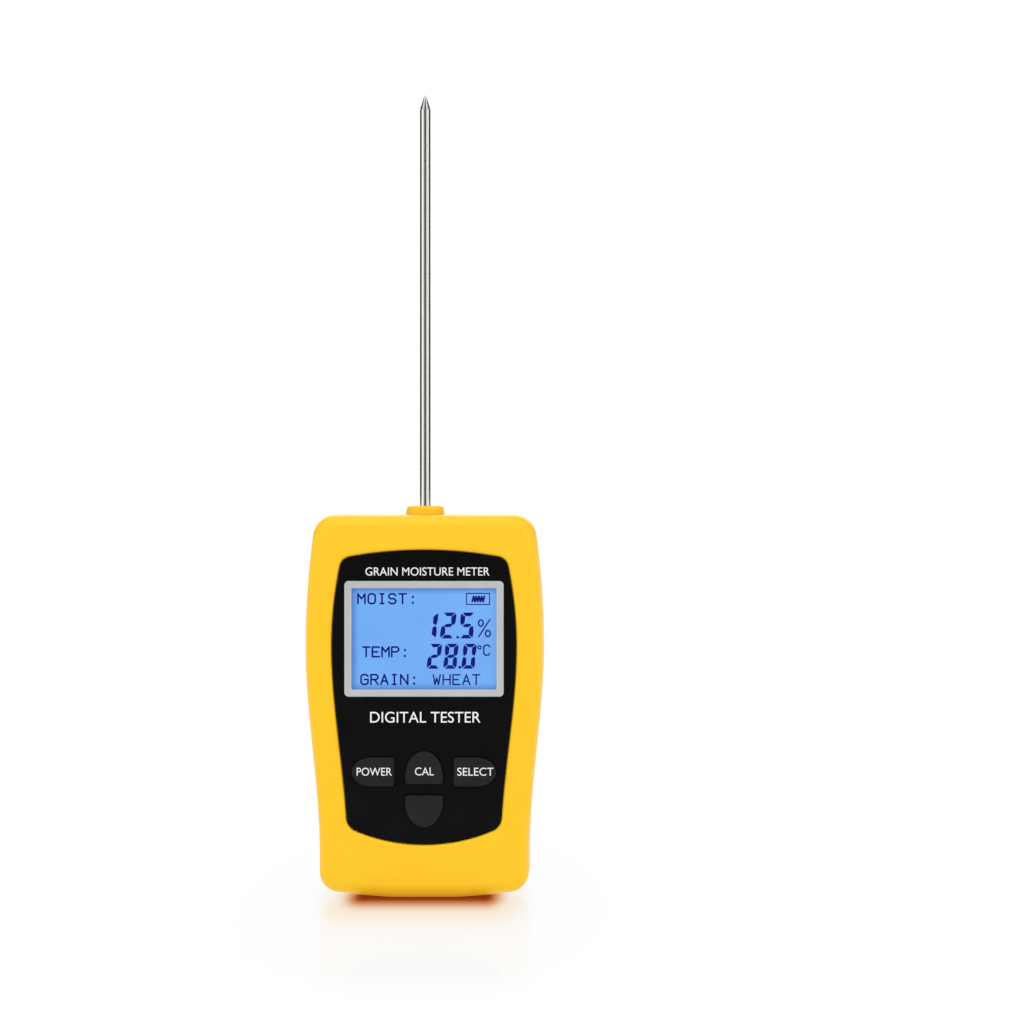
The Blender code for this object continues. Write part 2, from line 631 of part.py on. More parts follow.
def display():
    front, back = FASCIA_FRONT - BEZEL_PROUD, FASCIA_FRONT + FASCIA_THICK
    lens_front = back - LENS_THICK
    chamfer = 0.35 * MM
    lens_size = (VIEW_SIZE[0] + 2.2 * MM, VIEW_SIZE[1] + 2.2 * MM)
    bm = bmesh.new()
    add_rings(bm, [
        frame_ring(BEZEL_SIZE, BEZEL_CORNER, back),
        frame_ring(BEZEL_SIZE, BEZEL_CORNER, front + chamfer),
        frame_ring(BEZEL_SIZE, 1.3 * MM, front, -chamfer),
        frame_ring(VIEW_SIZE, 0.7 * MM, front, chamfer),
        frame_ring(VIEW_SIZE, 0.4 * MM, front + 2 * chamfer),
        frame_ring(VIEW_SIZE, 0.4 * MM, lens_front - GAP),
        frame_ring(lens_size, 0.8 * MM, lens_front - GAP, GAP),
        frame_ring(lens_size, 0.8 * MM, back, GAP),
    ], closed=True)
    finish("display_bezel", bm, "silver_bezel")

    bm = bmesh.new()
    add_prism(bm, rounded_rectangle(*lens_size, 0.6 * MM, DISPLAY_Z), lens_front, back)
    finish("display_lens", bm, "clear_lens")

    bm = bmesh.new()
    seal_front, seal_back = back + 0.2 * MM, LCD_FRONT - 0.2 * MM
    seal_in = (VIEW_SIZE[0] + 0.3 * MM, VIEW_SIZE[1] + 0.3 * MM)
    seal_out = (VIEW_SIZE[0] + 2.7 * MM, VIEW_SIZE[1] + 2.8 * MM)
    add_rings(bm, [
        frame_ring(seal_out, 0.8 * MM, seal_front),
        frame_ring(seal_out, 0.8 * MM, seal_back),
        frame_ring(seal_in, 0.4 * MM, seal_back),
        frame_ring(seal_in, 0.4 * MM, seal_front),
    ], closed=True)
    finish("display_gasket", bm, "black_rubber")

    half_x, half_z = LCD_SIZE[0] / 2, LCD_SIZE[1] / 2
    bm = bmesh.new()
    add_box(bm, (-half_x, LCD_FRONT, DISPLAY_Z - half_z), (half_x, LCD_BACK, DISPLAY_Z + half_z))
    finish("lcd_cell", bm, "lcd_cell")

    guide_front, guide_back = LCD_BACK + GAP, POST_END - 0.3 * MM
    bm = bmesh.new()
    guide_half = half_z - 3 * MM
    add_box(bm, (-half_x, guide_front, DISPLAY_Z - guide_half),
            (half_x - 2.6 * MM, guide_back, DISPLAY_Z + guide_half))
    finish("backlight_guide", bm, "light_guide")

    bm = bmesh.new()  # a strip with three lamps that face the guide's edge
    strip_x, lamp_x = half_x - 0.8 * MM, half_x - 2.2 * MM
    edge_x, strip_half = half_x - 0.2 * MM, 16 * MM
    comb = [Vector((edge_x, DISPLAY_Z - strip_half)), Vector((edge_x, DISPLAY_Z + strip_half)),
            Vector((strip_x, DISPLAY_Z + strip_half))]
    for z in (12 * MM, 0, -12 * MM):
        for x, dz in ((strip_x, 1.6 * MM), (lamp_x, 1.6 * MM), (lamp_x, -1.6 * MM), (strip_x, -1.6 * MM)):
            comb.append(Vector((x, DISPLAY_Z + z + dz)))
    comb.append(Vector((strip_x, DISPLAY_Z - strip_half)))
    add_prism(bm, comb, guide_front + 0.6 * MM, POST_END + 0.1 * MM)
    finish("backlight_lamps", bm, "white_moulding")

    for name, side in (("lower_zebra_strip", -1), ("upper_zebra_strip", 1)):
        bm = bmesh.new()
        low, high = sorted((DISPLAY_Z + side * (half_z - 2.6 * MM), DISPLAY_Z + side * (half_z - 0.3 * MM)))
        add_box(bm, (-28 * MM, guide_front, low), (28 * MM, POST_END + 0.1 * MM, high))
        finish(name, bm, "grey_silicone")

    bm = bmesh.new()
    add_rings(bm, [
        frame_ring(LCD_SIZE, 0.8 * MM, LCD_FRONT, 2.3 * MM),
        frame_ring(LCD_SIZE, 0.8 * MM, POST_END, 2.3 * MM),
        frame_ring(LCD_SIZE, 0.2 * MM, POST_END, GAP),
        frame_ring(LCD_SIZE, 0.2 * MM, LCD_FRONT, GAP),
    ], closed=True)
    finish("display_carrier", bm, "white_moulding")


# ---- keypad -------------------------------------------------------------------------------------
def key(name):
    """A keycap about its own centre: crowned top, side, flange held behind the case floor, short stem."""
    x, z, half, length, direction = KEYS[name]
    outline = key_outline(half, length, direction)
    flange_front, flange_back = FLOOR_BACK + GAP, FLOOR_BACK + GAP + 1.0 * MM
    edge, pillow = 0.7 * MM, 0.12 * MM
    bm = bmesh.new()
    middle = [p * 0.55 for p in outline]
    rings = [ring(middle, KEY_TOP), ring(outline, KEY_TOP + pillow, edge)]
    for angle in (math.pi / 4, math.pi / 2):
        y = KEY_TOP + pillow + edge * (1 - math.cos(angle))
        rings.append(ring(outline, y, edge * (1 - math.sin(angle))))
    rings += [
        ring(outline, flange_front),
        ring(outline, flange_front, -KEY_FLANGE),
        ring(outline, flange_back, -KEY_FLANGE),
    ]
    add_rings(bm, rings)
    cap = finish(name, bm, "grey_key", 50)
    cap.location = (x, 0, z)
    bm = bmesh.new()
    stem, root, end = 2.5 * MM, flange_back - 0.4 * MM, flange_back + 0.7 * MM
    add_turned(bm, ((0, root), (stem, root), (stem, end), (0, end)), (x, z), "Y", 16)
    boolean(cap, "UNION", finish(name + "_stem", bm))


def dome_and_pill(name):
    """The silicone dome that lifts a key, and the carbon pill under its roof that closes the contact."""
    x, z = KEYS[name][:2]
    stem_end = FLOOR_BACK + 2 * MM
    roof = stem_end + 0.2 * MM
    pads = BOARD_FRONT - 0.15 * MM
    pill_back = pads - KEY_TRAVEL - 0.05 * MM
    pill_front = pill_back - 0.65 * MM
    root = BOARD_FRONT - GAP
    short = name.replace("_key", "")
    bm = bmesh.new()
    ceiling, crest, skirt = pill_front - 0.1 * MM, 3.2 * MM, 5.3 * MM
    outside = ((0, roof), (crest, roof), (crest, roof + 1.4 * MM), (skirt, root - 0.6 * MM), (skirt, root))
    inside = ((4.6 * MM, root), (4.6 * MM, root - 0.3 * MM), (2.5 * MM, ceiling), (0, ceiling))
    add_turned(bm, outside + inside, (x, z), "Y", 16)
    finish(short + "_dome", bm, "grey_silicone")
    bm = bmesh.new()
    radius = 2.2 * MM
    profile = ((0, pill_front), (radius, pill_front), (radius, pill_back), (0, pill_back))
    add_turned(bm, profile, (0, 0), "Y", 16)
    pill = finish(short + "_pill", bm, "carbon_pill")
    pill.location = (x, 0, z)


def keypad():
    for name in KEYS:
        key(name)
        dome_and_pill(name)
    root = BOARD_FRONT - GAP
    bm = bmesh.new()
    add_prism(bm, rounded_rectangle(56 * MM, 31 * MM, 3 * MM, 41.0 * MM), root - 1.0 * MM, root)
    mat = finish("keypad_mat", bm, "grey_silicone")
    bm = bmesh.new()
    for x, z, *_ in KEYS.values():
        add_prism(bm, circle(5.7 * MM, 16, x, z), root - 2 * MM, root + 1 * MM)
    boolean(mat, "DIFFERENCE", finish("dome_openings", bm))


# ---- circuit board ------------------------------------------------------------------------------
def board():
    middle = (BOARD_LOW + BOARD_HIGH) / 2
    outline = rounded_rectangle(2 * BOARD_HALF_WIDTH, BOARD_HIGH - BOARD_LOW, 2 * MM, middle)
    bm = bmesh.new()
    add_prism(bm, outline, BOARD_FRONT, BOARD_BACK)
    plate = finish("main_board", bm, "green_board")
    bm = bmesh.new()
    for x, z in BOARD_POSTS + HEAT_STAKES:
        add_prism(bm, circle(1.5 * MM, 16, x, z), BOARD_FRONT - 1 * MM, BOARD_BACK + 1 * MM)
    boolean(plate, "DIFFERENCE", finish("board_holes", bm))
    bm = bmesh.new()
    for row in range(4):
        for column in range(2):
            z = (34 + 7 * row) * MM
            x = (22 + 3.4 * column) * MM * (-1 if row % 2 else 1)
            add_box(bm, (x - 1.0 * MM, BOARD_BACK - 0.5 * MM, z - 0.6 * MM),
                    (x + 1.0 * MM, BOARD_BACK + 0.6 * MM, z + 0.6 * MM))
    boolean(plate, "UNION", finish("soldered_chips", bm))


def chip(name, centre, width, height, thick, legs, four_sided=False):
    """A moulded chip on the board's back, with rows of legs out of its left and right, or all four sides."""
    x, z = centre
    body = rounded_rectangle(width, height, 0.3 * MM, z, x, steps=1)
    bm = bmesh.new()
    add_rings(bm, [ring(body, COMPONENT_BASE + 0.1 * MM, 0.2 * MM), ring(body, COMPONENT_BASE + thick / 2),
                   ring(body, COMPONENT_BASE + thick, 0.25 * MM)])
    made = finish(name, bm, "black_component")
    bm = bmesh.new()
    pitch = height / (legs + 1)
    for quarter in range(4 if four_sided else 2):
        turn = Matrix.Rotation(math.radians(90 * quarter if four_sided else 180 * quarter), 2)
        for i in range(legs):
            along = (i - (legs - 1) / 2) * pitch
            root, foot, half = width / 2 - 0.5 * MM, width / 2 + 1.1 * MM, 0.2 * MM
            corners = [(root, -half), (foot, -half), (foot, half), (root, half)]
            leg = [turn @ Vector((a, b + along)) + Vector(centre) for a, b in corners]
            add_prism(bm, leg, COMPONENT_BASE, COMPONENT_BASE + 0.4 * MM)
    boolean(made, "UNION", finish(name + "_legs", bm))


def components():
    chip("microcontroller", (0, 96 * MM), 12 * MM, 12 * MM, 1.5 * MM, 5, True)
    chip("sensor_amplifier", (-20 * MM, 112 * MM), 4 * MM, 5 * MM, 1.4 * MM, 4)
    base = COMPONENT_BASE
    bm = bmesh.new()
    can = rounded_rectangle(11 * MM, 4.6 * MM, 2.2 * MM, 85.4 * MM)
    add_rings(bm, [ring(can, base), ring(can, base + 3.2 * MM), ring(can, base + 3.6 * MM, 0.4 * MM)])
    finish("clock_crystal", bm, "tin_part")
    bm = bmesh.new()
    top = base + 6.5 * MM
    add_turned(bm, ((0, base), (6 * MM, base), (6 * MM, top - 0.5 * MM), (5.5 * MM, top), (1.2 * MM, top),
                    (1.2 * MM, top - 2 * MM), (0, top - 2 * MM)), (23 * MM, 101 * MM), "Y", 24)
    finish("buzzer", bm, "black_component")
    bm = bmesh.new()
    top = base + 7 * MM
    add_turned(bm, ((0, base), (2.5 * MM, base), (2.5 * MM, base + 0.9 * MM), (2.3 * MM, base + 1.2 * MM),
                    (2.5 * MM, base + 1.5 * MM), (2.5 * MM, top - 0.3 * MM), (2.2 * MM, top), (0, top)),
               (-20 * MM, 96 * MM), "Y", 16)
    finish("filter_capacitor", bm, "tin_part")


# ---- cells, contacts and battery cover ----------------------------------------------------------
def cell(name, x, low, toward):
    """A cylindrical cell. toward is +1 where its nub, the positive end, points up, and -1 for down."""
    base, shoulder = (low, low + CELL_LENGTH)[::toward]
    profile = (
        (0, base),
        (CELL_RADIUS - 0.8 * MM, base),
        (CELL_RADIUS, base + toward * 0.6 * MM),
        (CELL_RADIUS, shoulder - toward * 0.5 * MM),
        (CELL_RADIUS - 0.5 * MM, shoulder),
        (NUB_RADIUS + 0.4 * MM, shoulder - toward * 0.2 * MM),
        (NUB_RADIUS, shoulder),
        (NUB_RADIUS, shoulder + toward * (NUB_LENGTH - 0.3 * MM)),
        (NUB_RADIUS - 0.3 * MM, shoulder + toward * NUB_LENGTH),
        (0, shoulder + toward * NUB_LENGTH),
    )
    bm = bmesh.new()
    add_turned(bm, profile, (x, CELL_Y), steps=24)
    finish(name, bm, "blue_cell_wrap")


def contact_spring(name, x, z_base, z_end):
    """A conical coil that presses on a cell's flat end."""
    turns, per_turn = 4, 10
    count = turns * per_turn
    samples = []
    for i in range(count + 1):
        t = i / count
        angle = 2 * math.pi * turns * t
        radius = (4.6 - 1.9 * t) * MM
        rise = z_base + (z_end - z_base) * smooth_step(t, -0.12, 1.12)
        samples.append(Vector((x + radius * math.cos(angle), CELL_Y + radius * math.sin(angle), rise)))
    wire(name, samples, 0.32 * MM, "spring_steel", 1)


def contact_plate(name, x_low, x_high, z, y_high):
    bm = bmesh.new()
    add_box(bm, (x_low, 2.9 * MM, z), (x_high, y_high, z + CONTACT_THICK))
    return finish(name, bm, "spring_steel")


def add_dimple(plate, x, z_plate, z_end):
    """A pressed dimple that reaches from a contact plate to a cell's nub."""
    bm = bmesh.new()
    root = z_plate + CONTACT_THICK / 2
    add_turned(bm, ((0, root), (2.2 * MM, root), (1.6 * MM, z_end), (0, z_end)), (x, CELL_Y), steps=16)
    boolean(plate, "UNION", finish(plate.name + "_dimple", bm))


def contacts():
    low, high = BAY_LOW + GAP, BAY_HIGH - GAP - CONTACT_THICK
    reach = 5.5 * MM
    contact_spring("lower_contact_spring", -CELL_X, low + CONTACT_THICK + 0.5 * MM, LEFT_CELL_LOW - 0.5 * MM)
    contact_spring("upper_contact_spring", CELL_X, high - 0.5 * MM, RIGHT_CELL_LOW + CELL_LENGTH + 0.5 * MM)
    for name, x in (("negative_contact", -CELL_X), ("positive_contact", CELL_X)):
        plate = contact_plate(name, x - reach, x + reach, low, 11.6 * MM)
        bm = bmesh.new()
        add_box(bm, (x - 1.4 * MM, 2.9 * MM, 16.8 * MM), (x + 1.4 * MM, 3.3 * MM, low + CONTACT_THICK / 2))
        boolean(plate, "UNION", finish(name + "_tab", bm))
        if x > 0:
            add_dimple(plate, x, low, RIGHT_CELL_LOW - NUB_LENGTH - GAP)
    bridge = contact_plate("bridge_contact", -CELL_X - reach, CELL_X + reach, high, 13.0 * MM)
    add_dimple(bridge, -CELL_X, high, LEFT_CELL_LOW + CELL_LENGTH + NUB_LENGTH + GAP)
    for name, side in (("negative_wire", -1), ("positive_wire", 1)):
        route = [(0, 2.1, 16.9), (0, 1.4, 15.6), (0.8, 0.2, 14.9), (1.8, -1.2, 15.6), (2.6, -1.95, 17.6),
                 (3.2, -1.95, 21.5)]
        points = [(side * (CELL_X + out * MM), y * MM, z * MM) for out, y, z in route]
        tube(name, points, 0.55 * MM, "wire_insulation")


def battery_cover():
    """A flush plate with two hooks at its lower edge, a latch tongue at its upper edge and grip grooves."""
    middle = (COVER_LOW + COVER_HIGH) / 2
    inner_face = BACK_Y - COVER_THICK
    bm = bmesh.new()
    outline = rounded_rectangle(2 * COVER_HALF_WIDTH, COVER_HIGH - COVER_LOW, COVER_CORNER, middle)
    edge = 0.3 * MM
    add_rings(bm, [ring(outline, inner_face), ring(outline, BACK_Y - edge), ring(outline, BACK_Y, edge)])
    cover = finish("battery_cover", bm, "yellow_case")

    profile = [(13.4, 14.9), (14.7, 14.9), (14.7, 17.6), (15.8, 17.6), (15.8, 19.3), (13.4, 19.3)]
    bm = bmesh.new()
    for x in (-HOOK_X, HOOK_X):  # an L in side view: in from the plate, then down behind the case's edge
        ends = (x - HOOK_HALF_WIDTH, x + HOOK_HALF_WIDTH)
        add_rings(bm, [[Vector((end, y * MM, z * MM)) for y, z in profile] for end in ends])
    boolean(cover, "UNION", finish("cover_hooks", bm))
    bm = bmesh.new()
    tongue = rounded_rectangle(10.4 * MM, 6.0 * MM, 1.4 * MM, COVER_HIGH - 0.2 * MM)
    add_prism(bm, tongue, 14.95 * MM, BACK_Y - 0.5 * MM)
    boolean(cover, "UNION", finish("latch_tongue", bm))
    bm = bmesh.new()
    for i in range(5):
        z = COVER_HIGH - (8 + 2.4 * i) * MM
        groove = rounded_rectangle((16 - 1.6 * i) * MM, 1.1 * MM, 0.5 * MM, z)
        add_prism(bm, groove, BACK_Y - 0.5 * MM, BACK_Y + 1 * MM)
    boolean(cover, "DIFFERENCE", finish("grip_grooves", bm))

    hinge = Vector((0, HINGE_Y, HINGE_Z))
    for piece in (cover, *[m.object for m in cover.modifiers]):
        piece.data.transform(Matrix.Translation(-hinge))
        piece.location = hinge


# ---- probe --------------------------------------------------------------------------------------
def probe():
    axis = (0, PARTING_Y)
    bore = PROBE_RADIUS + GAP
    edge = 1.2 * MM
    neck = COLLAR_RADIUS - 0.3 * MM
    rounded = [(neck - edge * (1 - math.cos(a)), COLLAR_TOP - edge * (1 - math.sin(a)))
               for a in (0, math.pi / 6, math.pi / 3, math.pi / 2)]
    profile = [
        (COLLAR_BORE, above(-7.8)),
        (COLLAR_FLANGE, above(-7.8)),
        (COLLAR_FLANGE, above(-2.8)),
        (COLLAR_RADIUS, above(-2.8)),
        (COLLAR_RADIUS, above(0.3)),
        *rounded,
        (bore, COLLAR_TOP),
        (bore, COLLAR_TOP - 0.7 * MM),
        (COLLAR_BORE, COLLAR_TOP - 0.7 * MM),
    ]
    bm = bmesh.new()
    add_turned(bm, profile, axis, steps=24, closed=True)
    finish("probe_collar", bm, "yellow_case")

    bore, outer, flange = PROBE_RADIUS + 0.2 * MM, 3.0 * MM, 5.5 * MM
    profile = [(bore, above(-13)), (outer, above(-13)), (outer, above(-10.6)), (flange, above(-10.6)),
               (flange, above(-8.1)), (outer, above(-8.1)), (outer, above(0.95)), (bore, above(0.95))]
    bm = bmesh.new()
    add_turned(bm, profile, axis, steps=20, closed=True)
    finish("probe_ferrule", bm, "brass")

    bm = bmesh.new()
    across = 5.2 * MM
    low, high = above(-14.8), above(-10.9)
    add_turned(bm, ((0, low), (across, low), (across, high), (0, high)), axis, steps=6)
    nut = finish("probe_nut", bm, "brass")
    bm = bmesh.new()
    bore, low, high = outer + 0.2 * MM, above(-16), above(-9)
    add_turned(bm, ((0, low), (bore, low), (bore, high), (0, high)), axis, steps=20)
    boolean(nut, "DIFFERENCE", finish("nut_bore", bm))

    ring_radius, cord_radius, steps = 2.68 * MM, 0.45 * MM, 6
    angles = [2 * math.pi * i / steps for i in range(steps)]
    middle = above(1.75)
    section = [(ring_radius + cord_radius * math.cos(a), middle + cord_radius * math.sin(a)) for a in angles]
    bm = bmesh.new()
    add_turned(bm, section, axis, steps=16, closed=True)
    finish("probe_seal", bm, "black_rubber")

    shoulder = PROBE_TIP_Z - TIP_LENGTH
    tube_high = shoulder - 0.1 * MM
    bm = bmesh.new()
    add_turned(bm, ((TUBE_BORE, TUBE_LOW), (PROBE_RADIUS, TUBE_LOW), (PROBE_RADIUS, tube_high),
                    (TUBE_BORE, tube_high)), axis, steps=24, closed=True)
    finish("probe_tube", bm, "probe_steel")
    probe_tip(axis, shoulder)

    low, high = TUBE_LOW - 3.5 * MM, shoulder - 18 * MM
    bm = bmesh.new()
    add_turned(bm, ((0, low), (0.7 * MM, low), (0.7 * MM, high), (0, high)), axis, steps=12)
    finish("inner_electrode", bm, "brass")
    low, high = TUBE_LOW - 2.0 * MM, high - 0.5 * MM
    bm = bmesh.new()
    inner, outer = 0.85 * MM, 1.4 * MM
    add_turned(bm, ((inner, low), (outer, low), (outer, high), (inner, high)), axis, steps=12, closed=True)
    finish("electrode_sleeve", bm, "white_moulding")
    low, high = shoulder - 16 * MM, shoulder - 9 * MM
    bm = bmesh.new()
    radius, nose = 1.2 * MM, 0.8 * MM
    add_turned(bm, ((0, low), (nose, low + 0.4 * MM), (radius, low + 1.5 * MM), (radius, high - 2 * MM),
                    (nose, high - 0.4 * MM), (0, high)), axis, steps=12)
    finish("temperature_sensor", bm, "black_component")


def probe_tip(axis, shoulder):
    """A solid point, turned to a slightly bulging cone, on a spigot inside the tube."""
    foot = shoulder - 6.4 * MM
    profile = [(0, foot), (TIP_SPIGOT, foot), (TIP_SPIGOT, shoulder)]
    for share in (0.0, 0.3, 0.6, 0.85):
        profile.append((PROBE_RADIUS * (1 - share) ** 0.85, shoulder + TIP_LENGTH * share))
    profile += [(0.15 * MM, PROBE_TIP_Z - 0.08 * MM), (0, PROBE_TIP_Z)]
    bm = bmesh.new()
    add_turned(bm, profile, axis, steps=24)
    finish("probe_tip", bm, "probe_steel")


def probe_wiring():
    base, low = COMPONENT_BASE, above(-34.6)
    bm = bmesh.new()
    add_box(bm, (-5 * MM, base, low), (5 * MM, base + 4.2 * MM, low + 5 * MM))
    socket = finish("probe_socket", bm, "white_moulding")
    bm = bmesh.new()
    add_box(bm, (-4.2 * MM, base + 0.8 * MM, low + 1.8 * MM), (4.2 * MM, base + 3.4 * MM, low + 6 * MM))
    boolean(socket, "DIFFERENCE", finish("socket_mouth", bm))
    bm = bmesh.new()
    add_box(bm, (-3.9 * MM, base + 1.1 * MM, low + 2.1 * MM), (3.9 * MM, base + 3.1 * MM, low + 7.6 * MM))
    finish("probe_plug", bm, "white_moulding")
    y, z = base + 2.1 * MM, low + 7.9 * MM
    signal = [(-2.4, 0, 0), (-2.4, 0, 1.1), (-1.6, 1.15, 2.7), (-0.3, 2.45, 4.1), (0, 2.75, 5.7)]
    sensor = [(2.4, 0, 0), (2.4, 0, 1.1), (2.2, 1.35, 3.3), (1.5, 2.55, 5.3), (1.25, 2.75, 7.2)]
    for name, route in (("probe_signal_wire", signal), ("probe_sensor_wire", sensor)):
        points = [(x * MM, y + dy * MM, z + dz * MM) for x, dy, dz in route]
        tube(name, points, 0.42 * MM, "wire_insulation")


def main():
    for left_over in list(bpy.data.objects):
        bpy.data.objects.remove(left_over)
    front_case()
    rear_case()
    screws()
    fascia()
    display()
    keypad()
    board()
    components()
    cell("battery_left", -CELL_X, LEFT_CELL_LOW, 1)
    cell("battery_right", CELL_X, RIGHT_CELL_LOW, -1)
    contacts()
    battery_cover()
    probe()
    probe_wiring()


main()
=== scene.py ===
import json
import math

import bmesh
import bpy
from mathutils import Matrix, Vector
from mathutils.bvhtree import BVHTree


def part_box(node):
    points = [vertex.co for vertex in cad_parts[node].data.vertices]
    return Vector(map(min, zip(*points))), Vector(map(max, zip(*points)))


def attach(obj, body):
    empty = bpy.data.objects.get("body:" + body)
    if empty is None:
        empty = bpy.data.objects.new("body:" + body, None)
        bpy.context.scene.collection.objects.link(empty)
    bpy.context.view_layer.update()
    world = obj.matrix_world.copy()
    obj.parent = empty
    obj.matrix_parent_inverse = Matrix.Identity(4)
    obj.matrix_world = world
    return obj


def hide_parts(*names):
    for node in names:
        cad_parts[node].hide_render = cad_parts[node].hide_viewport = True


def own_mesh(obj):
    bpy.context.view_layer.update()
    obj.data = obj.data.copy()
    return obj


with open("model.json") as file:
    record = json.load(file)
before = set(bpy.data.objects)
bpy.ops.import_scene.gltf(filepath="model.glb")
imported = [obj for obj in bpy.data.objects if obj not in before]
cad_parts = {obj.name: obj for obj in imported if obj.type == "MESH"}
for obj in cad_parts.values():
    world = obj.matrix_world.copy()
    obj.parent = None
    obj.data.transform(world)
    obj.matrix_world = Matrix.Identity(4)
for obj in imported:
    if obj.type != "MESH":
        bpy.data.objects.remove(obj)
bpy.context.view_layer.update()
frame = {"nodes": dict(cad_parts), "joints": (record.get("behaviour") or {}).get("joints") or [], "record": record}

NODES = frame["nodes"]
JOINTS = {joint["name"]: joint for joint in frame["joints"]}
MM = 0.001
GAP = 0.3 * MM


def low(node):
    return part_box(node)[0]


def high(node):
    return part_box(node)[1]


def centre(node):
    return (low(node) + high(node)) / 2


def size(node):
    return high(node) - low(node)


# ---- sizes read from the frame ------------------------------------------------------------------
FRONT_Y, BACK_Y = low("front_case").y, high("rear_case").y
BODY_HEIGHT = high("front_case").z
BODY_WIDEST = high("front_case").x
PARTING_Y = high("front_case").y + GAP / 2
FASCIA_LOW, FASCIA_HIGH = low("fascia_plate").z, high("fascia_plate").z
FASCIA_WIDEST = high("fascia_plate").x
FASCIA_FRONT, FASCIA_BACK = low("fascia_plate").y, high("fascia_plate").y
DISPLAY_Z = centre("display_lens").z
BEZEL_SIZE = (size("display_bezel").x, size("display_bezel").z)
BEZEL_FRONT = low("display_bezel").y
LENS_FRONT = low("display_lens").y
LENS_SIZE = (size("display_lens").x, size("display_lens").z)
VIEW_SIZE = (LENS_SIZE[0] - 2.2 * MM, LENS_SIZE[1] - 2.2 * MM)
LCD_FRONT, LCD_BACK = low("lcd_cell").y, high("lcd_cell").y
BOARD_FRONT, BOARD_BACK = low("main_board").y, low("main_board").y + 1.6 * MM
POST_END = BOARD_FRONT - GAP
KEY_FLANGE = 1.0 * MM
KEYS = {"power_key": "left", "cal_key": "up", "select_key": "right", "lower_key": "down"}  # where the arch is
CASE_POSTS = [(centre(f"case_screw_{i}").x, centre(f"case_screw_{i}").z) for i in (1, 2, 3, 4)]
BOARD_POSTS = [(centre(f"board_screw_{i}").x, centre(f"board_screw_{i}").z) for i in (1, 2)]
HINGE = Vector(JOINTS["battery_cover_hinge"]["pos_m"])
COVER_HALF_WIDTH = high("battery_cover").x
COVER_LOW, COVER_HIGH = HINGE.z, high("battery_cover").z - 2.8 * MM
COVER_THICK = 1.7 * MM
PROBE_AXIS = (centre("probe_tube").x, centre("probe_tube").y)
PROBE_RADIUS = high("probe_tube").x
PROBE_TIP_Z = high("probe_tip").z
TUBE_LOW, TUBE_HIGH = low("probe_tube").z, high("probe_tube").z
COLLAR_TOP = high("probe_collar").z
CELL_X = high("battery_right").x - size("battery_right").x / 2
CELL_Y = centre("battery_right").y
CELL_RADIUS = size("battery_right").x / 2

# ---- sizes the frame doesn't hold ----------------------------------------------------------------
BODY_FOOT = BODY_WIDEST - 5.35 * MM  # half widths of the case at its foot and its shoulder
BODY_SHOULDER = BODY_WIDEST - 2.65 * MM
WAIST_LOW, WAIST_HIGH = 16.0 * MM, 94.0 * MM
SHOULDER_Z = BODY_HEIGHT - 9.2 * MM
BASE_ARC, BASE_FLAT = 250.0 * MM, 12.0 * MM
TOP_CORNER, BOTTOM_CORNER = 9.0 * MM, 8.0 * MM
EDGE_RADIUS = 5.0 * MM
DRAFT = 0.5 * MM
WALL = 2.2 * MM
FRONT_CROWN = 1.6 * MM
FASCIA_FOOT, FASCIA_SHOULDER = FASCIA_WIDEST - 5.9 * MM, FASCIA_WIDEST - 2.8 * MM
FASCIA_LOW_ARC, FASCIA_HIGH_ARC = 66.0 * MM, 155.0 * MM
FASCIA_LOW_CORNER, FASCIA_HIGH_CORNER = 5.5 * MM, 4.5 * MM
RIM_RADIUS = 1.3 * MM
KEY_CORNER = 1.1 * MM
KEY_ARCH = 1.35  # how much longer than a half circle a key's round end is
COLLAR_RADIUS = 7.3 * MM
CASE_POST = (3.2 * MM, 1.45 * MM, -11 * MM)  # radius, pilot hole's radius and its bottom
BOARD_POST = (2.6 * MM, 1.25 * MM, -10.6 * MM)
HEAT_STAKES = ((-29.0 * MM, 21.0 * MM), (29.0 * MM, 21.0 * MM))
BAY_HALF_WIDTH, BAY_LOW, BAY_HIGH = 15.4 * MM, 19.5 * MM, 78.5 * MM
BAY_FLOOR = 0.6 * MM
HOOK_X = 9 * MM
BROKEN_EDGE = 0.2 * MM  # along the parting line
TRAY_WALL = 1.5 * MM
FLOOR_FRONT = FASCIA_BACK + GAP
FLOOR_BACK = FLOOR_FRONT + 2.0 * MM
PRINT_THICK = 0.03 * MM
ROUND = 96  # facets round a turned piece


# ---- outlines in the front view: lists of (x, z) ------------------------------------------------
def smooth_step(value, low_end, high_end):
    t = min(max((value - low_end) / (high_end - low_end), 0.0), 1.0)
    return t * t * (3 - 2 * t)


def swell(z, foot, widest, shoulder, low_z, high_z, shoulder_z):
    """Half width at height z: an S from the foot out to the widest, then a parabola in to the shoulder."""
    if z <= high_z:
        return foot + (widest - foot) * smooth_step(z, low_z, high_z)
    return widest - (widest - shoulder) * ((z - high_z) / (shoulder_z - high_z)) ** 2


def body_half_width(z):
    return swell(z, BODY_FOOT, BODY_WIDEST, BODY_SHOULDER, WAIST_LOW, WAIST_HIGH, SHOULDER_Z)


def fascia_half_width(z):
    shoulder_z = FASCIA_HIGH - 7.2 * MM
    return swell(z, FASCIA_FOOT, FASCIA_WIDEST, FASCIA_SHOULDER, WAIST_LOW + 2 * MM, WAIST_HIGH, shoulder_z)


def side_normal(half_width, z):
    step = 0.05 * MM
    slope = (half_width(z + step) - half_width(z - step)) / (2 * step)
    return Vector((1.0, -slope)).normalized()


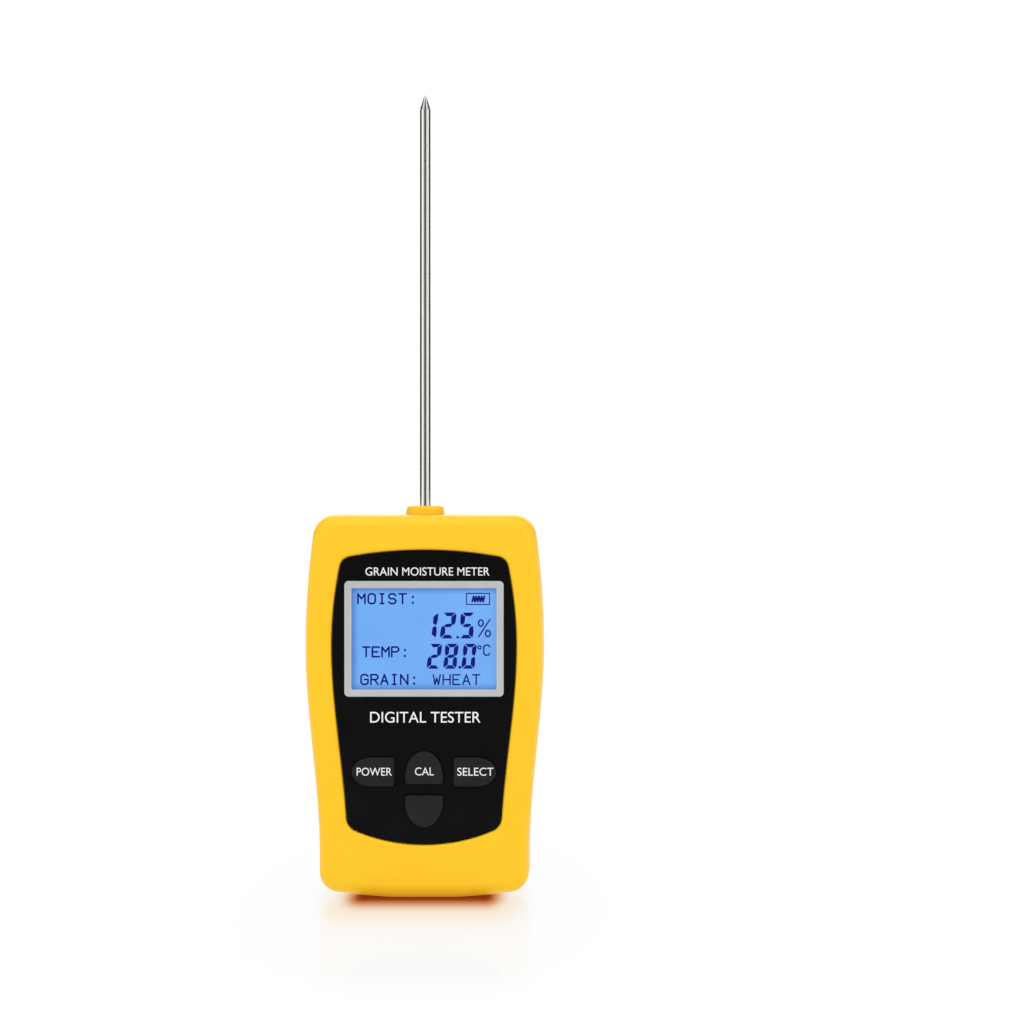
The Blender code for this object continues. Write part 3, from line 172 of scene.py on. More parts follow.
def corner_arc(half_width, edge_z, edge_radius, radius, up, steps):
    """Points of the fillet between an edge, flat or an arc about x = 0, and the side. up is +1 at the top."""
    def centre_at(z):
        return Vector((half_width(z), z)) - side_normal(half_width, z) * radius

    def room(z):  # how far the fillet circle stays inside the edge
        middle = centre_at(z)
        if edge_radius is None:
            return (edge_z - middle.y) * up - radius
        return edge_radius - (middle - Vector((0, edge_z - up * edge_radius))).length - radius

    inside, outside = edge_z - up * 4 * radius, edge_z
    for _ in range(50):
        middle = (inside + outside) / 2
        if room(middle) > 0:
            inside = middle
        else:
            outside = middle
    hub = centre_at(inside)
    start = math.pi / 2 * up
    if edge_radius is not None:
        out = hub - Vector((0, edge_z - up * edge_radius))
        start = math.atan2(out.y, out.x)
    normal = side_normal(half_width, inside)
    end = math.atan2(normal.y, normal.x)
    angles = [start + (end - start) * i / steps for i in range(steps + 1)]
    return [hub + Vector((math.cos(a), math.sin(a))) * radius for a in angles]


def edge_points(end, edge_z, edge_radius, up, steps):
    """Points along the bottom or top edge, from x = 0 up to the corner's first point."""
    points = []
    for i in range(steps):
        x = end.x * i / steps
        sag = 0.0 if edge_radius is None else edge_radius - math.sqrt(edge_radius**2 - x**2)
        points.append(Vector((x, edge_z - up * sag)))
    return points


def shield(half_width, bottom, top, low_corner, high_corner, low_arc=None, high_arc=None):
    """A closed outline, symmetric about x = 0, with as many points on each stretch whatever its size."""
    edge, corner, side = 20, 14, 56
    low_fillet = corner_arc(half_width, bottom, low_arc, low_corner, -1, corner)
    high_fillet = corner_arc(half_width, top, high_arc, high_corner, 1, corner)
    z_low, z_high = low_fillet[-1].y, high_fillet[-1].y
    right = edge_points(low_fillet[0], bottom, low_arc, -1, edge) + low_fillet
    for i in range(1, side):
        z = z_low + (z_high - z_low) * i / side
        right.append(Vector((half_width(z), z)))
    right += high_fillet[::-1] + edge_points(high_fillet[0], top, high_arc, 1, edge)[:0:-1]
    left = [Vector((-p.x, p.y)) for p in reversed(right[1:])]
    return right + [Vector((0, top))] + left


def rounded_rectangle(width, height, radius, centre_z=0.0, steps=10):
    points = []
    for turns, (sx, sz) in enumerate(((1, -1), (1, 1), (-1, 1), (-1, -1))):
        corner = Vector((sx * (width / 2 - radius), centre_z + sz * (height / 2 - radius)))
        for i in range(steps + 1):
            angle = math.radians(-90 + 90 * turns + 90 * i / steps)
            points.append(corner + Vector((math.cos(angle), math.sin(angle))) * radius)
    return points


def circle(radius, centre_x=0.0, centre_z=0.0, steps=48):
    turn = [2 * math.pi * i / steps for i in range(steps)]
    return [Vector((centre_x + radius * math.cos(a), centre_z + radius * math.sin(a))) for a in turn]


def key_outline(name, grow=0.0):
    """A key seen from the front: one arched end, one straight end with small corners."""
    direction = KEYS[name]
    across, along = size(name).x - 2 * KEY_FLANGE, size(name).z - 2 * KEY_FLANGE
    if direction in ("left", "right"):
        across, along = along, across
    half, length = across / 2 + grow, along + 2 * grow
    flat, arch_centre = -length / 2, length / 2 - half * KEY_ARCH
    points = []
    for i in range(49):
        angle = math.pi * i / 48
        points.append(Vector((half * math.cos(angle), arch_centre + half * KEY_ARCH * math.sin(angle))))
    for side, first in ((-1, 180), (1, 270)):
        hub = Vector((side * (half - KEY_CORNER), flat + KEY_CORNER))
        for i in range(9):
            angle = math.radians(first + 90 * i / 8)
            points.append(hub + Vector((math.cos(angle), math.sin(angle))) * KEY_CORNER)
    turn = Matrix.Rotation(math.radians({"up": 0, "left": 90, "down": 180, "right": -90}[direction]), 2)
    place = Vector((centre(name).x, centre(name).z))
    return [turn @ p + place for p in points]


def inset(outline, distance, draft=0.0):
    """The outline moved inward by distance, and by draft except where it faces down."""
    moved = []
    for i, point in enumerate(outline):
        along = outline[(i + 1) % len(outline)] - outline[i - 1]
        outward = Vector((along.y, -along.x)).normalized()
        moved.append(point - outward * (distance + draft * (1 + min(0.0, outward.y))))
    return moved


def crown(x):
    return FRONT_CROWN * (x / BODY_WIDEST) ** 2


def ring(outline, y, distance=0.0, crowned=False, draft=0.0):
    """A loop of 3-D points: the outline, moved inward by distance, at depth y."""
    return [Vector((p.x, y + (crown(p.x) if crowned else 0.0), p.y)) for p in inset(outline, distance, draft)]


def body_outline():
    lowest = -(BASE_FLAT**2) / (2 * BASE_ARC)
    outline = shield(body_half_width, lowest, BODY_HEIGHT, BOTTOM_CORNER, TOP_CORNER, BASE_ARC)
    return [Vector((p.x, max(p.y, 0.0))) for p in outline]


def fascia_outline():
    return shield(fascia_half_width, FASCIA_LOW, FASCIA_HIGH, FASCIA_LOW_CORNER, FASCIA_HIGH_CORNER,
                  FASCIA_LOW_ARC, FASCIA_HIGH_ARC)


# ---- mesh building ------------------------------------------------------------------------------
def add_rings(bm, rings, closed=False):
    """Joins each ring of points to the next. The two ends are capped, or joined where closed is set."""
    loops = [[bm.verts.new(p) for p in points] for points in rings]
    pairs = list(zip(loops, loops[1:]))
    if closed:
        pairs.append((loops[-1], loops[0]))
    for first, second in pairs:
        count = max(len(first), len(second))
        for i in range(count):
            j = (i + 1) % count
            if len(first) == 1:
                bm.faces.new((first[0], second[j], second[i]))
            elif len(second) == 1:
                bm.faces.new((first[i], first[j], second[0]))
            else:
                bm.faces.new((first[i], first[j], second[j], second[i]))
    if not closed:
        for loop in (loops[0], loops[-1]):
            if len(loop) > 1:
                bm.faces.new(loop)


def add_turned(bm, profile, hub, axis="Z", steps=ROUND, closed=False):
    """A turned solid. profile holds (radius, place along the axis); hub is the axis's place across it."""
    rings = []
    for radius, along in profile:
        points = []
        for i in range(steps if radius > 0 else 1):
            angle = 2 * math.pi * i / steps
            a, b = hub[0] + radius * math.cos(angle), hub[1] + radius * math.sin(angle)
            points.append(Vector((a, b, along)) if axis == "Z" else Vector((a, along, b)))
        rings.append(points)
    add_rings(bm, rings, closed)


def add_box(bm, low_corner, high_corner):
    (x0, y0, z0), (x1, y1, z1) = low_corner, high_corner
    corners = [(x0, z0), (x1, z0), (x1, z1), (x0, z1)]
    add_rings(bm, [[Vector((x, y, z)) for x, z in corners] for y in (y0, y1)])


def add_prism(bm, outline, y_front, y_back, distance=0.0):
    add_rings(bm, [ring(outline, y_front, distance), ring(outline, y_back, distance)])


def rounded_corner(radius, along, steps, radius_end, along_end):
    """Profile points of a quarter round from (radius, along) to (radius_end, along_end), bulging outward."""
    points = []
    for i in range(steps + 1):
        angle = math.pi / 2 * i / steps
        points.append((radius_end + (radius - radius_end) * math.cos(angle),
                       along + (along_end - along) * math.sin(angle)))
    return points


def add_object(name, data):
    made = bpy.data.objects.new(name, data)
    bpy.context.scene.collection.objects.link(made)
    return made


def shade(mesh, smooth=35):
    """Smooth shading, but for edges whose faces turn by more than smooth degrees."""
    mesh.shade_smooth()
    mesh.set_sharp_from_angle(angle=math.radians(smooth))


def make(name, bm, smooth=35):
    bmesh.ops.recalc_face_normals(bm, faces=bm.faces[:])
    mesh = bpy.data.meshes.new(name)
    bm.to_mesh(mesh)
    bm.free()
    shade(mesh, smooth)
    return add_object(name, mesh)


def solid(name, adder, *arguments, smooth=35):
    """A piece made by one call of adder."""
    bm = bmesh.new()
    adder(bm, *arguments)
    return make(name, bm, smooth)


def evaluated_mesh(piece):
    bpy.context.view_layer.update()
    return bpy.data.meshes.new_from_object(piece.evaluated_get(bpy.context.evaluated_depsgraph_get()))


def shape(piece, operation, name, adder, *calls):
    """Joins solids to the piece or cuts them out of it. adder makes one for each call's arguments."""
    bm = bmesh.new()
    for arguments in calls:
        adder(bm, *arguments)
    tool = make(name, bm)
    modifier = piece.modifiers.new("boolean", "BOOLEAN")
    modifier.operation = operation
    modifier.solver = "EXACT"
    modifier.object = tool
    mesh = evaluated_mesh(piece)
    piece.modifiers.clear()
    piece.data = mesh
    shade(mesh)
    bpy.data.objects.remove(tool)


def even_shading(piece):
    """Large flat faces keep their own normal beside small fillets."""
    piece.modifiers.new("even shading", "WEIGHTED_NORMAL").keep_sharp = True


def wire(name, samples, radius):
    curve = bpy.data.curves.new(name, "CURVE")
    curve.dimensions = "3D"
    curve.bevel_depth = radius
    curve.bevel_resolution = 3
    curve.use_fill_caps = True
    spline = curve.splines.new("POLY")
    spline.points.add(len(samples) - 1)
    for point, place in zip(spline.points, samples):
        point.co = (*place, 1)
    return add_object(name, curve)


def to_mesh(piece):
    """A mesh object in place of a curve or a text."""
    mesh = evaluated_mesh(piece)
    mesh.transform(piece.matrix_world)
    name = piece.name
    bpy.data.objects.remove(piece)
    return add_object(name, mesh)


def join(name, pieces):
    """One object out of several."""
    bm = bmesh.new()
    for piece in pieces:
        bm.from_mesh(piece.data)
        bpy.data.objects.remove(piece)
    return make(name, bm)


def fit(piece, body, slot, *nodes, paint=None):
    """Hands a finished piece to the frame, with its slot's material or the one given."""
    piece.data.materials.clear()
    piece.data.materials.append(paint or PAINTS[slot])
    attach(piece, body)
    if nodes:
        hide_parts(*nodes)
    return piece


# ---- materials ----------------------------------------------------------------------------------
class Paint:
    """A material whose colour, roughness and relief come from textures in the piece's own space."""

    def __init__(self, name, roughness=0.4, metallic=0.0, **sockets):
        self.material = bpy.data.materials.new(name)
        self.material.use_nodes = True
        self.tree = self.material.node_tree
        self.shader = self.tree.nodes["Principled BSDF"]
        for socket, value in {"Roughness": roughness, "Metallic": metallic, **sockets}.items():
            self.shader.inputs[socket.replace("_", " ")].default_value = value
        self.place = self.tree.nodes.new("ShaderNodeTexCoord").outputs["Object"]

    def set(self, socket, value):
        if isinstance(value, bpy.types.NodeSocket):
            self.tree.links.new(value, socket)
        else:
            socket.default_value = value

    def node(self, kind, **inputs):
        made = self.tree.nodes.new(kind)
        for name, value in inputs.items():
            self.set(made.inputs[name.replace("_", " ")], value)
        return made

    def sums(self, kind, operation, first, second, output=0):
        """The result of a math or vector math node."""
        made = self.tree.nodes.new(kind)
        made.operation = operation
        self.set(made.inputs[0], first)
        self.set(made.inputs[1], second)
        return made.outputs[output]

    def noise(self, grain, detail=2.0, stretch=(1, 1, 1)):
        """Noise whose lumps are about grain across."""
        place = self.node("ShaderNodeMapping", Vector=self.place, Scale=stretch).outputs[0]
        return self.node("ShaderNodeTexNoise", Vector=place, Scale=1 / grain, Detail=detail).outputs["Fac"]

    def ramp(self, factor, *stops):
        made = self.node("ShaderNodeValToRGB", Fac=factor)
        elements = made.color_ramp.elements
        while len(elements) < len(stops):
            elements.new(0.5)
        for element, (place, colour) in zip(elements, stops):
            element.position = place
            element.color = (*colour, 1)
        return made.outputs["Color"]

    def remap(self, factor, to_low, to_high, from_low=0.3, from_high=0.7):
        return self.node("ShaderNodeMapRange", Value=factor, To_Min=to_low, To_Max=to_high,
                         From_Min=from_low, From_Max=from_high).outputs["Result"]

    def link(self, output, socket):
        self.tree.links.new(output, self.shader.inputs[socket])

    def show(self, shader_node):
        """Makes shader_node the surface in place of the Principled BSDF."""
        self.tree.links.new(shader_node.outputs[0], self.tree.nodes["Material Output"].inputs["Surface"])

    def colour(self, factor, first, second):
        self.link(self.ramp(factor, (0.3, first), (0.7, second)), "Base Color")

    def uneven_gloss(self, factor, smooth, rough):
        self.link(self.remap(factor, smooth, rough), "Roughness")

    def relief(self, factor, depth):
        self.link(self.node("ShaderNodeBump", Distance=depth, Height=factor).outputs["Normal"], "Normal")


def moulded(name, first, second, roughness, grain=0.22 * MM, depth=0.006 * MM, **sockets):
    """Moulded plastic or rubber: a faint drift of colour, uneven gloss and the mould's fine texture."""
    paint = Paint(name, roughness, **sockets)
    paint.colour(paint.noise(14 * MM, 3), first, second)
    paint.uneven_gloss(paint.noise(3 * MM, 4), roughness - 0.05, roughness + 0.06)
    paint.relief(paint.noise(grain, 3), depth)
    return paint.material


def metal(name, first, second, roughness, stretch=(1, 1, 1), depth=0.002 * MM):
    """Bare metal with fine marks, drawn out along one direction where stretch says so."""
    paint = Paint(name, roughness, 1.0)
    paint.colour(paint.noise(6 * MM, 4, stretch), first, second)
    paint.uneven_gloss(paint.noise(0.5 * MM, 4, stretch), roughness * 0.7, roughness * 1.4)
    paint.relief(paint.noise(0.15 * MM, 3, stretch), depth)
    return paint.material


def board_green():
    """Solder mask over copper tracks, which show as slightly raised, lighter lines."""
    paint = Paint("green_board", 0.35)
    tracks = paint.node("ShaderNodeTexBrick", Vector=paint.place, Scale=260.0, Mortar_Size=0.02,
                        Color1=(0.004, 0.07, 0.02, 1), Color2=(0.006, 0.09, 0.03, 1),
                        Mortar=(0.02, 0.2, 0.06, 1))
    paint.link(tracks.outputs["Color"], "Base Color")
    paint.relief(tracks.outputs["Fac"], 0.03 * MM)
    paint.uneven_gloss(paint.noise(2 * MM), 0.3, 0.42)
    return paint.material


def cell_wrap(name, split, white_above):
    """Printed shrink wrap: blue, with a white band at the positive end."""
    paint = Paint(name, 0.22, Coat_Weight=0.4, Coat_Roughness=0.08)
    height = paint.node("ShaderNodeSeparateXYZ", Vector=paint.place).outputs["Z"]
    tint = paint.ramp(paint.noise(5 * MM), (0.35, (0.008, 0.07, 0.5)), (0.65, (0.006, 0.05, 0.4)))
    half_blur = 0.05 * MM if white_above else -0.05 * MM
    mix = paint.tree.nodes.new("ShaderNodeMix")
    mix.data_type = "RGBA"
    paint.set(mix.inputs["Factor"], paint.remap(height, 0.0, 1.0, split - half_blur, split + half_blur))
    paint.set(mix.inputs[6], tint)
    paint.set(mix.inputs[7], (0.82, 0.84, 0.85, 1))
    paint.link(mix.outputs[2], "Base Color")
    paint.uneven_gloss(paint.noise(2 * MM), 0.18, 0.3)
    paint.relief(paint.noise(1.5 * MM), 0.01 * MM)
    return paint.material


def backlit_face():
    """The lit face of the display: brightest at the middle, darker towards the window's edges, most at the top and
    left, as painted shadow of the surround's recess.
    """
    paint = Paint("lcd_cell", 0.25, Emission_Strength=1.0, Specular_IOR_Level=0.1)
    place = paint.node("ShaderNodeSeparateXYZ", Vector=paint.place).outputs
    half_x, half_z = VIEW_SIZE[0] / 2, VIEW_SIZE[1] / 2
    # painted shadow: the glow dims over the last few millimetres at each edge of the window, most at the top and
    # left, as the surround's shade would
    level = paint.remap(place["X"], 0.45, 1.0, -half_x, -half_x + 2.6 * MM)
    for axis, at_edge, edge, wide in (("X", 0.85, half_x, -2.4), ("Z", 0.35, DISPLAY_Z + half_z, -2.4),
                                      ("Z", 0.5, DISPLAY_Z - half_z, 2.2)):
        side = paint.remap(place[axis], at_edge, 1.0, edge, edge + wide * MM)
        level = paint.sums("ShaderNodeMath", "MULTIPLY", level, side)
    cloud = paint.noise(16 * MM, 2)
    lit = paint.sums("ShaderNodeMath", "SUBTRACT", level, paint.remap(cloud, 0.0, 0.12))
    glow = paint.ramp(lit, (0.0, (0.045, 0.125, 0.45)), (0.5, (0.11, 0.28, 0.7)), (1.0, (0.185, 0.44, 0.92)))
    paint.link(glow, "Emission Color")
    paint.colour(cloud, (0.004, 0.01, 0.02), (0.006, 0.014, 0.03))
    paint.relief(paint.noise(0.3 * MM), 0.001 * MM)
    return paint.material


def ink(name, first, second, roughness=0.45, **sockets):
    """Print or liquid crystal segments: nearly flat, with a slight mottle."""
    paint = Paint(name, roughness, **sockets)
    paint.colour(paint.noise(0.8 * MM, 3), first, second)
    paint.uneven_gloss(paint.noise(1.5 * MM), roughness - 0.06, roughness + 0.06)
    return paint.material


def clear_lens():
    paint = Paint("clear_lens", 0.02, IOR=1.12, Transmission_Weight=1.0)
    paint.colour(paint.noise(20 * MM), (0.97, 0.985, 1.0), (0.985, 0.99, 1.0))
    paint.uneven_gloss(paint.noise(9 * MM), 0.01, 0.03)
    return paint.material


def grey(level):
    return (level, level, level)


# name: two colours, the roughness, then what differs of the texture and the shader's sockets
MOULDED = {
    "yellow_case": ((0.885, 0.51, 0.004), (0.905, 0.525, 0.006), 0.36, {"Specular_IOR_Level": 0.3}),
    "black_fascia": (grey(0.003), grey(0.004), 0.3,
                     {"grain": 0.12 * MM, "depth": 0.002 * MM, "Specular_IOR_Level": 0.05}),
    "silver_bezel": ((0.46, 0.48, 0.49), (0.5, 0.52, 0.53), 0.4,
                     {"grain": 0.1 * MM, "depth": 0.003 * MM, "Metallic": 0.25}),
    "light_guide": ((0.78, 0.86, 0.95), (0.84, 0.9, 0.98), 0.25, {"Transmission_Weight": 0.5}),
    "white_moulding": ((0.74, 0.74, 0.71), (0.8, 0.8, 0.77), 0.5, {}),
    "grey_key": ((0.009, 0.009, 0.01), (0.012, 0.012, 0.014), 0.55,
                 {"grain": 0.2 * MM, "depth": 0.008 * MM, "Specular_IOR_Level": 0.16}),
    "black_rubber": (grey(0.01), grey(0.016), 0.75, {}),
    "grey_silicone": ((0.3, 0.31, 0.32), (0.36, 0.37, 0.38), 0.65, {}),
    "carbon_pill": (grey(0.008), grey(0.014), 0.6, {}),
    "black_component": ((0.01, 0.01, 0.011), (0.016, 0.016, 0.018), 0.5, {}),
    "blue_cell_wrap": ((0.008, 0.07, 0.5), (0.006, 0.05, 0.4), 0.25, {}),
    "wire_insulation": ((0.42, 0.012, 0.012), (0.5, 0.02, 0.018), 0.5, {}),
}
# name: two colours, the roughness, then the marks' direction and depth where they differ
METALS = {
    "tin_part": ((0.6, 0.6, 0.62), (0.7, 0.7, 0.71), 0.3),
    "spring_steel": ((0.58, 0.58, 0.57), (0.68, 0.68, 0.67), 0.25),
    "screw_steel": ((0.42, 0.42, 0.43), (0.55, 0.55, 0.55), 0.3),
    "brass": ((0.72, 0.48, 0.18), (0.78, 0.56, 0.25), 0.28),
    "probe_steel": ((0.66, 0.65, 0.62), (0.72, 0.71, 0.69), 0.12, (1, 1, 0.02), 0.0001 * MM),
}
PAINTS = {"clear_lens": clear_lens(), "lcd_cell": backlit_face(), "green_board": board_green()}
PAINTS.update({name: moulded(name, *look, **extra) for name, (*look, extra) in MOULDED.items()})
PAINTS.update({name: metal(name, *look) for name, look in METALS.items()})
WHITE_PRINT = ink("white_print", (0.74, 0.75, 0.76), (0.8, 0.81, 0.82))
DARK_SEGMENTS = ink("dark_segments", (0.002, 0.003, 0.06), (0.003, 0.004, 0.08), Emission_Strength=1.0,
                    Emission_Color=(0.003, 0.007, 0.15, 1), Specular_IOR_Level=0.0)
UNLIT_SEGMENTS = ink("unlit_segments", (0.004, 0.01, 0.02), (0.006, 0.014, 0.03), Emission_Strength=1.0,
                     Emission_Color=(0.165, 0.405, 0.885, 1), Specular_IOR_Level=0.1)


# ---- case ---------------------------------------------------------------------------------------
def quarter(steps):
    """Angles from 0 to a right angle."""
    return [math.pi / 2 * i / steps for i in range(steps + 1)]


def fillet_rings(outline, y_face, side, crowned):
    """Rings from the side wall round the outer edge to the face. side is +1 where the case is behind."""
    rings = []
    for angle in quarter(14):
        y = y_face + side * EDGE_RADIUS * (1 - math.sin(angle))
        rings.append(ring(outline, y, EDGE_RADIUS * (1 - math.cos(angle)), crowned, DRAFT))
    rings.append(ring(outline, y_face, EDGE_RADIUS + 0.6 * MM, crowned, DRAFT))
    return rings


def rim_rings(outline):
    """Rings round the fascia's recess, from the front face over a rounded rim and down its wall."""
    rings = [ring(outline, FRONT_Y, -GAP - RIM_RADIUS - 0.4 * MM, True)]
    for angle in quarter(10):
        out = GAP + RIM_RADIUS * (1 - math.sin(angle))
        rings.append(ring(outline, FRONT_Y + RIM_RADIUS * (1 - math.cos(angle)), -out, True))
    rings.append(ring(outline, FLOOR_FRONT, -GAP))
    return rings


def add_collar_seat(bm):
    """The room that the probe's collar takes in the top wall, with a small flare at its mouth."""
    top, bore, flange = BODY_HEIGHT, COLLAR_RADIUS + GAP, 9.4 * MM
    profile = ((0, top - 7 * MM), (flange, top - 7 * MM), (flange, top - 2.4 * MM), (bore, top - 2.4 * MM),
               (bore, top - 0.25 * MM), (bore + 0.1 * MM, top - 0.1 * MM), (bore + 0.35 * MM, top + 0.1 * MM),
               (bore + 0.35 * MM, top + 2 * MM), (0, top + 2 * MM))
    add_turned(bm, profile, (0, PARTING_Y))


def post_root(x):
    """Where a post starts, inside the front wall."""
    return FRONT_Y + 1.6 * MM + crown(x)


def post(root, end, radius, bore, bore_end):
    """The profile of a post with a pilot hole in its end."""
    return (0, root), (radius, root), (radius, end), (bore, end), (bore, bore_end), (0, bore_end)


def front_shell():
    body, rim = body_outline(), fascia_outline()
    seam, wall_back = PARTING_Y - GAP / 2, FRONT_Y + WALL
    outer = rim_rings(rim)[::-1] + fillet_rings(body, FRONT_Y, 1, True)[::-1]
    outer += [ring(body, seam - BROKEN_EDGE), ring(body, seam, BROKEN_EDGE)]
    inner = [
        ring(body, seam, WALL),
        ring(body, FRONT_Y + 4.5 * MM, WALL, True, DRAFT),
        ring(body, wall_back, WALL + 2.6 * MM, True, DRAFT),
        ring(rim, wall_back, -(GAP + WALL + 1.0 * MM), True),
        ring(rim, FLOOR_BACK, -(GAP + WALL)),
    ]
    shell = solid("front_shell", add_rings, outer + inner)

    shape(shell, "UNION", "case_posts", add_turned,
          *((post(post_root(x), seam, *CASE_POST), (x, z), "Y", 40) for x, z in CASE_POSTS))
    shape(shell, "UNION", "board_posts", add_turned,
          *((post(FLOOR_BACK - 1.0 * MM, POST_END, *BOARD_POST), place, "Y", 32) for place in BOARD_POSTS))
    root, foot, stake = post_root(HEAT_STAKES[0][0]), 2.6 * MM, 1.1 * MM
    profile = ((0, root), (foot, root), (foot, POST_END), (stake, POST_END), (stake, BOARD_BACK + GAP),
               (2.1 * MM, BOARD_BACK + GAP), (1.7 * MM, BOARD_BACK + 1.1 * MM), (0, BOARD_BACK + 1.3 * MM))
    shape(shell, "UNION", "heat_stakes", add_turned, *((profile, place, "Y", 32) for place in HEAT_STAKES))

    depth = FLOOR_FRONT - 1 * MM, FLOOR_BACK + 1 * MM
    window = rounded_rectangle(VIEW_SIZE[0] + 3.3 * MM, VIEW_SIZE[1] + 3.4 * MM, 1.0 * MM, DISPLAY_Z)
    shape(shell, "DIFFERENCE", "floor_openings", add_prism, (window, *depth),
          *((key_outline(name), *depth, -0.35 * MM) for name in KEYS))
    shape(shell, "DIFFERENCE", "front_collar_seat", add_collar_seat, ())
    even_shading(shell)
    fit(shell, "case", "yellow_case", "front_case")


def flared_prism(bm, outline, y_floor, y_face, flare):
    """A cutter whose mouth at y_face opens out in a small round, so that the cut has a soft edge."""
    rings = [ring(outline, y_floor)]
    for angle in quarter(4):
        rings.append(ring(outline, y_face - flare * (1 - math.sin(angle)), -flare * (1 - math.cos(angle))))
    rings.append(ring(outline, y_face + 1 * MM, -flare))
    add_rings(bm, rings)


def rear_shell():
    body = body_outline()
    seam, inside = PARTING_Y + GAP / 2, BACK_Y - 2.0 * MM
    lip_out, lip_in = WALL + GAP, WALL + 1.3 * MM
    outer = fillet_rings(body, BACK_Y, -1, False)[::-1]
    outer += [ring(body, seam + BROKEN_EDGE), ring(body, seam, BROKEN_EDGE)]
    inner = [
        ring(body, seam, lip_out),
        ring(body, seam - 1.7 * MM, lip_out),
        ring(body, seam - 1.7 * MM, lip_in),
        ring(body, seam + 1.2 * MM, lip_in),
        ring(body, seam + 2.6 * MM, WALL + 0.1 * MM),
        ring(body, BACK_Y - 5.0 * MM, WALL, False, DRAFT),
        ring(body, inside, WALL + 3.0 * MM, False, DRAFT),
    ]
    shell = solid("rear_shell", add_rings, outer + inner)

    # a tray round the cells, with a wider ledge that the cover rests on
    half, bottom, top = BAY_HALF_WIDTH + TRAY_WALL, BAY_LOW - TRAY_WALL, BAY_HIGH + TRAY_WALL
    shape(shell, "UNION", "cell_tray", add_box,
          ((-half, BAY_FLOOR - TRAY_WALL, bottom), (half, 16 * MM, top)))
    half, bottom, top = COVER_HALF_WIDTH + 2 * MM, COVER_LOW - 2 * MM, COVER_HIGH + 5 * MM
    shape(shell, "UNION", "cover_ledge", add_box, ((-half, 13 * MM, bottom), (half, 16.1 * MM, top)))
    front, sleeve = seam + 0.2 * MM, 3.9 * MM
    profile = (0, front), (sleeve, front), (sleeve, 16 * MM), (0, 16 * MM)
    shape(shell, "UNION", "screw_posts", add_turned, *((profile, place, "Y", 40) for place in CASE_POSTS))

    bay = rounded_rectangle(2 * BAY_HALF_WIDTH, BAY_HIGH - BAY_LOW, 0.8 * MM, (BAY_LOW + BAY_HIGH) / 2)
    shape(shell, "DIFFERENCE", "cell_bay", add_prism, (bay, BAY_FLOOR, 18 * MM))
    recess = rounded_rectangle(2 * COVER_HALF_WIDTH + 2 * GAP, COVER_HIGH - COVER_LOW + 2 * GAP,
                               2.0 * MM + GAP, (COVER_LOW + COVER_HIGH) / 2)
    shape(shell, "DIFFERENCE", "cover_recess", flared_prism,
          (recess, BACK_Y - COVER_THICK - GAP, BACK_Y, 0.35 * MM))
    notch = rounded_rectangle(11.6 * MM, 8 * MM, 2.0 * MM, COVER_HIGH)
    shape(shell, "DIFFERENCE", "latch_notch", flared_prism, (notch, 14.6 * MM, BACK_Y, 0.6 * MM))
    half = 3.3 * MM
    shape(shell, "DIFFERENCE", "hook_slots", add_box,
          *(((x - half, 12.2 * MM, 13.8 * MM), (x + half, 15.2 * MM, 20.5 * MM)) for x in (-HOOK_X, HOOK_X)))
    half = 1.8 * MM
    shape(shell, "DIFFERENCE", "solder_tab_slots", add_box,
          *(((x - half, 2.4 * MM, 16 * MM), (x + half, 3.9 * MM, 20.5 * MM)) for x in (-CELL_X, CELL_X)))
    shape(shell, "DIFFERENCE", "rear_collar_seat", add_collar_seat, ())
    bore, shank, seat = 3.05 * MM, 1.75 * MM, 13.4 * MM
    profile = ((0, 0), (shank, 0), (shank, seat), (bore, seat), (bore, BACK_Y - 0.3 * MM),
               (bore + 0.1 * MM, BACK_Y - 0.1 * MM), (bore + 0.4 * MM, BACK_Y + 0.1 * MM),
               (bore + 0.4 * MM, 18 * MM), (0, 18 * MM))
    shape(shell, "DIFFERENCE", "screw_holes", add_turned,
          *((profile, place, "Y", 48) for place in CASE_POSTS))
    even_shading(shell)
    fit(shell, "case", "yellow_case", "rear_case")


